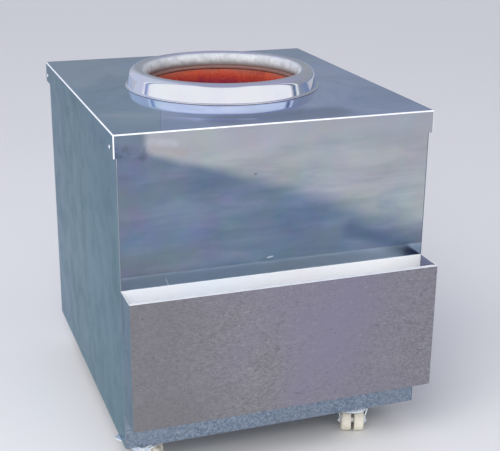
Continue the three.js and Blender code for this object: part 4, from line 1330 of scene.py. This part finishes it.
def add_damper():
    for node in ("damper_guide_upper", "damper_guide_lower"):
        piece = link(node + "_strip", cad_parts[node].data.copy())
        piece.data.materials.clear()
        work = bmesh.new()
        work.from_mesh(piece.data)
        bmesh.ops.remove_doubles(work, verts=work.verts, dist=1e-6)
        bmesh.ops.dissolve_limit(work, angle_limit=0.02, verts=work.verts[:], edges=work.edges[:])
        folds = [e for e in work.edges if len(e.link_faces) == 2 and e.calc_face_angle(0) > 0.5]
        bmesh.ops.bevel(work, geom=folds, offset=0.4 * MM, segments=2, profile=0.5, affect="EDGES")
        work.to_mesh(piece.data)
        work.free()
        finish_mesh(piece.data, 50)
        stand_for(weighted(piece), "cabinet", "zinc_plate", node)

    lo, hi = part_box("damper_door")
    mid = middle_of("damper_door")
    flat = rounded_rect((hi.y - lo.y) / 2, (hi.z - lo.z) / 2, 3 * MM)
    outline = [(mid.y + y, mid.z + z) for y, z in flat]
    door = plate("damper_door_plate", outline, [], hi.x - lo.x, 0.5 * MM, upright(mid.x))
    stand_for(door, "damper", "zinc_plate", "damper_door")

    lo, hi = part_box("damper_knob")
    length = (hi.x - lo.x) / MM
    profile = [(0.3, 0), (3.9, 0), (4, 0.4), (4, 7.2), (6.5, 8.2), (9.6, 10.2), (10.9, 13.2)]
    profile += [(10.9, 16.6), (9.8, 19.6), (7.4, 21.4), (4, length - 0.1), (0.3, length)]
    knob = lathe("damper_knob_moulding", mm(*profile), 56, wrap=False, sharp=40)
    place = middle_of("damper_knob")
    place.x = lo.x
    set_down(knob, pointing((1, 0, 0), place))
    stand_for(coat(knob, P["phenolic"]), "damper", "knob", "damper_knob")


# ------------------------------------------------------------------ casters

# In millimetres
AXLE_HEIGHT = 31 * math.cos(math.pi / 20)  # of a tread with 20 flats that stands on one of them
TRAIL = 20
FORK_TOP = 74.4
LEG_IN, LEG_OUT = 32.5, 35.5
LEG_SHEET = 3
BOSS = 11
PLATE_LOW, PLATE_TOP = 80, 84


def fork_leg(side):
    """One pressed leg, as rows across it from the rim of the dome down to the axle's boss."""
    root_top, root_low, bend = FORK_TOP - 8, FORK_TOP - 13, AXLE_HEIGHT + 16
    rows = []
    for t in (0.0, 0.5, 1.0):
        rows.append((-24, 24, root_top + (root_low - root_top) * t, 39))
    for t in (0.25, 0.5, 0.75, 0.92, 1.0):
        ease = t * t * (3 - 2 * t)
        left, right = -24 + (TRAIL - 14 + 24) * ease, 24 + (TRAIL + BOSS - 24) * ease
        rows.append((left, right, root_low + (bend - root_low) * t, 39 + (LEG_IN - 39) * t))
    for t in (0.3, 0.65, 1.0):
        height = bend + (AXLE_HEIGHT - bend) * t
        rows.append((TRAIL - 14 + 3 * t, TRAIL + BOSS, height, LEG_IN))
    for i in range(1, 9):
        a = math.pi / 2 * i / 9
        half, drop = BOSS * math.cos(a), BOSS * math.sin(a)
        rows.append((TRAIL - half, TRAIL + half, AXLE_HEIGHT - drop, LEG_IN))
    points, faces = [], []
    for left, right, z, y in rows:
        spots = [left + (right - left) * k / 6 for k in range(7)]
        points += [Vector((x, side * y, z)) * MM for x in spots]
        points += [Vector((x, side * (y + LEG_SHEET), z)) * MM for x in reversed(spots)]
    n = 14
    for i in range(len(rows) - 1):
        for k in range(n):
            a, b = i * n + k, i * n + (k + 1) % n
            faces.append((a, b, b + n, a + n))
    last = (len(rows) - 1) * n
    faces += [(r + k, r + k + 1, r + 12 - k, r + 13 - k) for k in range(6) for r in (0, last)]
    return body_of_faces("leg", points, faces, 40)


def add_caster_plate(name, place):
    """The plate, with a nut and a bolt's end under each hole that the cabinet's rail covers."""
    low, top = PLATE_LOW, PLATE_TOP
    half_x, half_y, corner, hole_x, hole_y = 57.9, 50.9, 8, 45, 38
    outline = rounded_rect(half_x * MM, half_y * MM, corner * MM, 6)
    spots = mm(*((sx * hole_x, sy * hole_y) for sx in (-1, 1) for sy in (-1, 1)))
    holes = [[(x + px, y + py) for px, py, _ in circle(4.5 * MM, 0, 28)] for x, y in spots]
    lift = Matrix.Translation((0, 0, (low + top) / 2 * MM))
    base = plate("plate", outline, holes, (top - low) * MM, 0.6 * MM, lift)
    base.modifiers.clear()
    swage = mm((27, low), (29.5, low), (30.5, low - 0.8), (29.8, low - 1.5), (28, low - 1.5))
    parts = [coat(base, P["zinc_plate"]), coat(lathe("swage", swage, 64), P["zinc_plate"])]
    rail_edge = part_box("body_frame")[0].x + 6 * MM
    washer = mm((4.6, low - 1.1), (8, low - 1.1), (8, low), (4.6, low))
    stub = [(0.3, low - 10), (3.2, low - 10), (4, low - 9.2), (4, top - 0.4), (0.3, top - 0.4)]
    for x, y in spots:
        if (place @ Vector((x, y, 0))).x < rail_edge:
            continue
        fixings = [
            hex_nut("nut", 13 * MM, 6.4 * MM, (low - 7.6) * MM),
            lathe("washer", washer, 40),
            lathe("bolt_end", mm(*stub), 32, wrap=False),
        ]
        spot = Matrix.Translation((x, y, 0))
        parts += [coat(set_down(piece, spot), P["screw_steel"]) for piece in fixings]
    whole = set_down(merge(f"{name}_plate_pressing", parts), place)
    stand_for(weighted(whole), "cabinet", "zinc_plate", f"{name}_caster_plate")


def add_caster_pin(name, place):
    """The bearing race and the kingpin with its nut."""
    low, top = (corner.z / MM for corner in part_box(f"{name}_caster_bearing"))
    mid = (low + top) / 2
    race = [(13.2, low), (24.5, low), (26.2, low + 0.7), (26.6, mid - 0.5), (25.6, mid - 0.2)]
    race += [(25.6, mid + 0.2), (26.9, mid + 0.5), (26.4, top - 0.6), (25, top), (13.2, top)]
    bearing = set_down(lathe(f"{name}_race", mm(*race), 72), place)
    stand_for(bearing, "cabinet", "screw_steel", f"{name}_caster_bearing")
    pin = [(0.3, 63), (5.2, 63), (5.9, 63.8), (5.9, 81.2), (9.8, 81.3), (9.9, 82.6), (8.6, 83.6)]
    shaft = lathe("pin", mm(*pin, (0.3, 83.6)), 40, wrap=False)
    nut = hex_nut("pin_nut", 17.2 * MM, 5.8 * MM, 65.2 * MM)
    kingpin = set_down(merge(f"{name}_pin", [shaft, nut]), place)
    stand_for(weighted(kingpin), "cabinet", "screw_steel", f"{name}_caster_kingpin")


def add_caster_fork(name, place):
    """The fork: a pressed dome with a rolled rim and two legs."""
    z = FORK_TOP
    dome = [(6.6, z - 3), (30, z - 3), (34.4, z - 4.2), (38.6, z - 8.6), (41, z - 12.4)]
    dome += [(42, z - 13), (44.4, z - 13), (45, z - 12.3), (44.6, z - 10.8), (41.6, z - 6.6)]
    dome += [(37.4, z - 2.2), (33.2, z - 0.4), (29, z), (6.6, z)]
    parts = [lathe("dome", mm(*dome), 96, sharp=50), fork_leg(1), fork_leg(-1)]
    fork = merge(f"{name}_fork_pressing", parts)
    set_down(fork, place)
    stand_for(weighted(fork), f"{name}_swivel", "zinc_plate", f"{name}_caster_fork")


def add_caster_axle(name, place):
    """The axle's bolt and nut, and the spacer between the wheels."""
    face = LEG_OUT + 0.3
    rod = [(0.3, -face - 4.6), (4, -face - 4.6), (4.9, -face - 3.8), (4.9, face + 0.5)]
    parts = [
        lathe("axle", mm(*rod, (0.3, face + 0.5)), 36, wrap=False),
        lathe("spacer", mm((5, -3.5), (9, -3.5), (9, 3.5), (5, 3.5)), 36),
        hex_nut("head", 13.4 * MM, 4 * MM, face * MM),
        hex_nut("nut", 13.4 * MM, 4 * MM, (-face - 4) * MM),
    ]
    axle = merge(f"{name}_axle_bolt", parts)
    for v in axle.data.vertices:
        v.co.z = max((-face - 4) * MM, min((face + 4) * MM, v.co.z))
    set_down(axle, place)
    stand_for(weighted(axle), f"{name}_swivel", "screw_steel", f"{name}_caster_axle")


def add_caster_wheels(name, axle):
    """Two wheels, each with a rounded tread, a sunk web and a hub."""
    r, width, inner = 30.58, 27, 4.5
    profile = [(5.6, 0), (11, 0), (11.6, 2), (22, 2.2), (23, 0.4), (28.4, 0.2), (29.9, 1)]
    profile += [(r, 2.8), (r, 19.4), (30.2, 21.8), (28.8, 24.4), (26.6, 26.2), (24.2, width)]
    profile += [(23, width - 0.4), (21.6, width - 2.4), (12.2, width - 2.6)]
    profile += [(11.2, width - 0.2), (10.6, width), (5.6, width)]
    for side, turn in (("left", 0), ("right", math.pi)):
        spot = Matrix.Rotation(turn, 4, "X") @ Matrix.Translation((0, 0, inner * MM))
        wheel = lathe(f"{name}_{side}_wheel_moulding", mm(*profile), 96, sharp=45)
        set_down(wheel, axle @ spot)
        stand_for(wheel, f"{name}_{side}_wheel", "nylon", f"{name}_caster_{side}_wheel")


def add_caster(name, plate_turn, fork_turn):
    pin = middle_of(f"{name}_caster_kingpin")
    centre = Matrix.Translation((pin.x, pin.y, 0))
    fork_place = centre @ Matrix.Rotation(math.radians(fork_turn), 4, "Z")
    lift = Matrix.Translation((TRAIL * MM, 0, AXLE_HEIGHT * MM))
    axle_place = fork_place @ lift @ Matrix.Rotation(math.radians(-90), 4, "X")
    add_caster_plate(name, centre @ Matrix.Rotation(math.radians(plate_turn), 4, "Z"))
    add_caster_pin(name, centre)
    add_caster_fork(name, fork_place)
    add_caster_axle(name, axle_place)
    add_caster_wheels(name, axle_place)


# ------------------------------------------------------------------ the whole scene


def dress_kept_nodes():
    for node, paint in {
        "body_frame": "frame_paint",
        "base_plate": "galvanised",
        "hearth_slab": "fire_brick",
        "air_duct": "galvanised",
    }.items():
        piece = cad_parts[node]
        piece.data.materials.clear()
        piece.data.materials.append(P[paint].material)


add_camera()
add_studio()
add_floor()
dress_kept_nodes()
add_cover()
add_panels()
add_screws()
add_front_box()
add_ring()
add_pot()
add_grate()
add_wool()
add_damper()
for caster, turns in CASTERS.items():
    add_caster(caster, *turns)

bpy.context.view_layer.update()
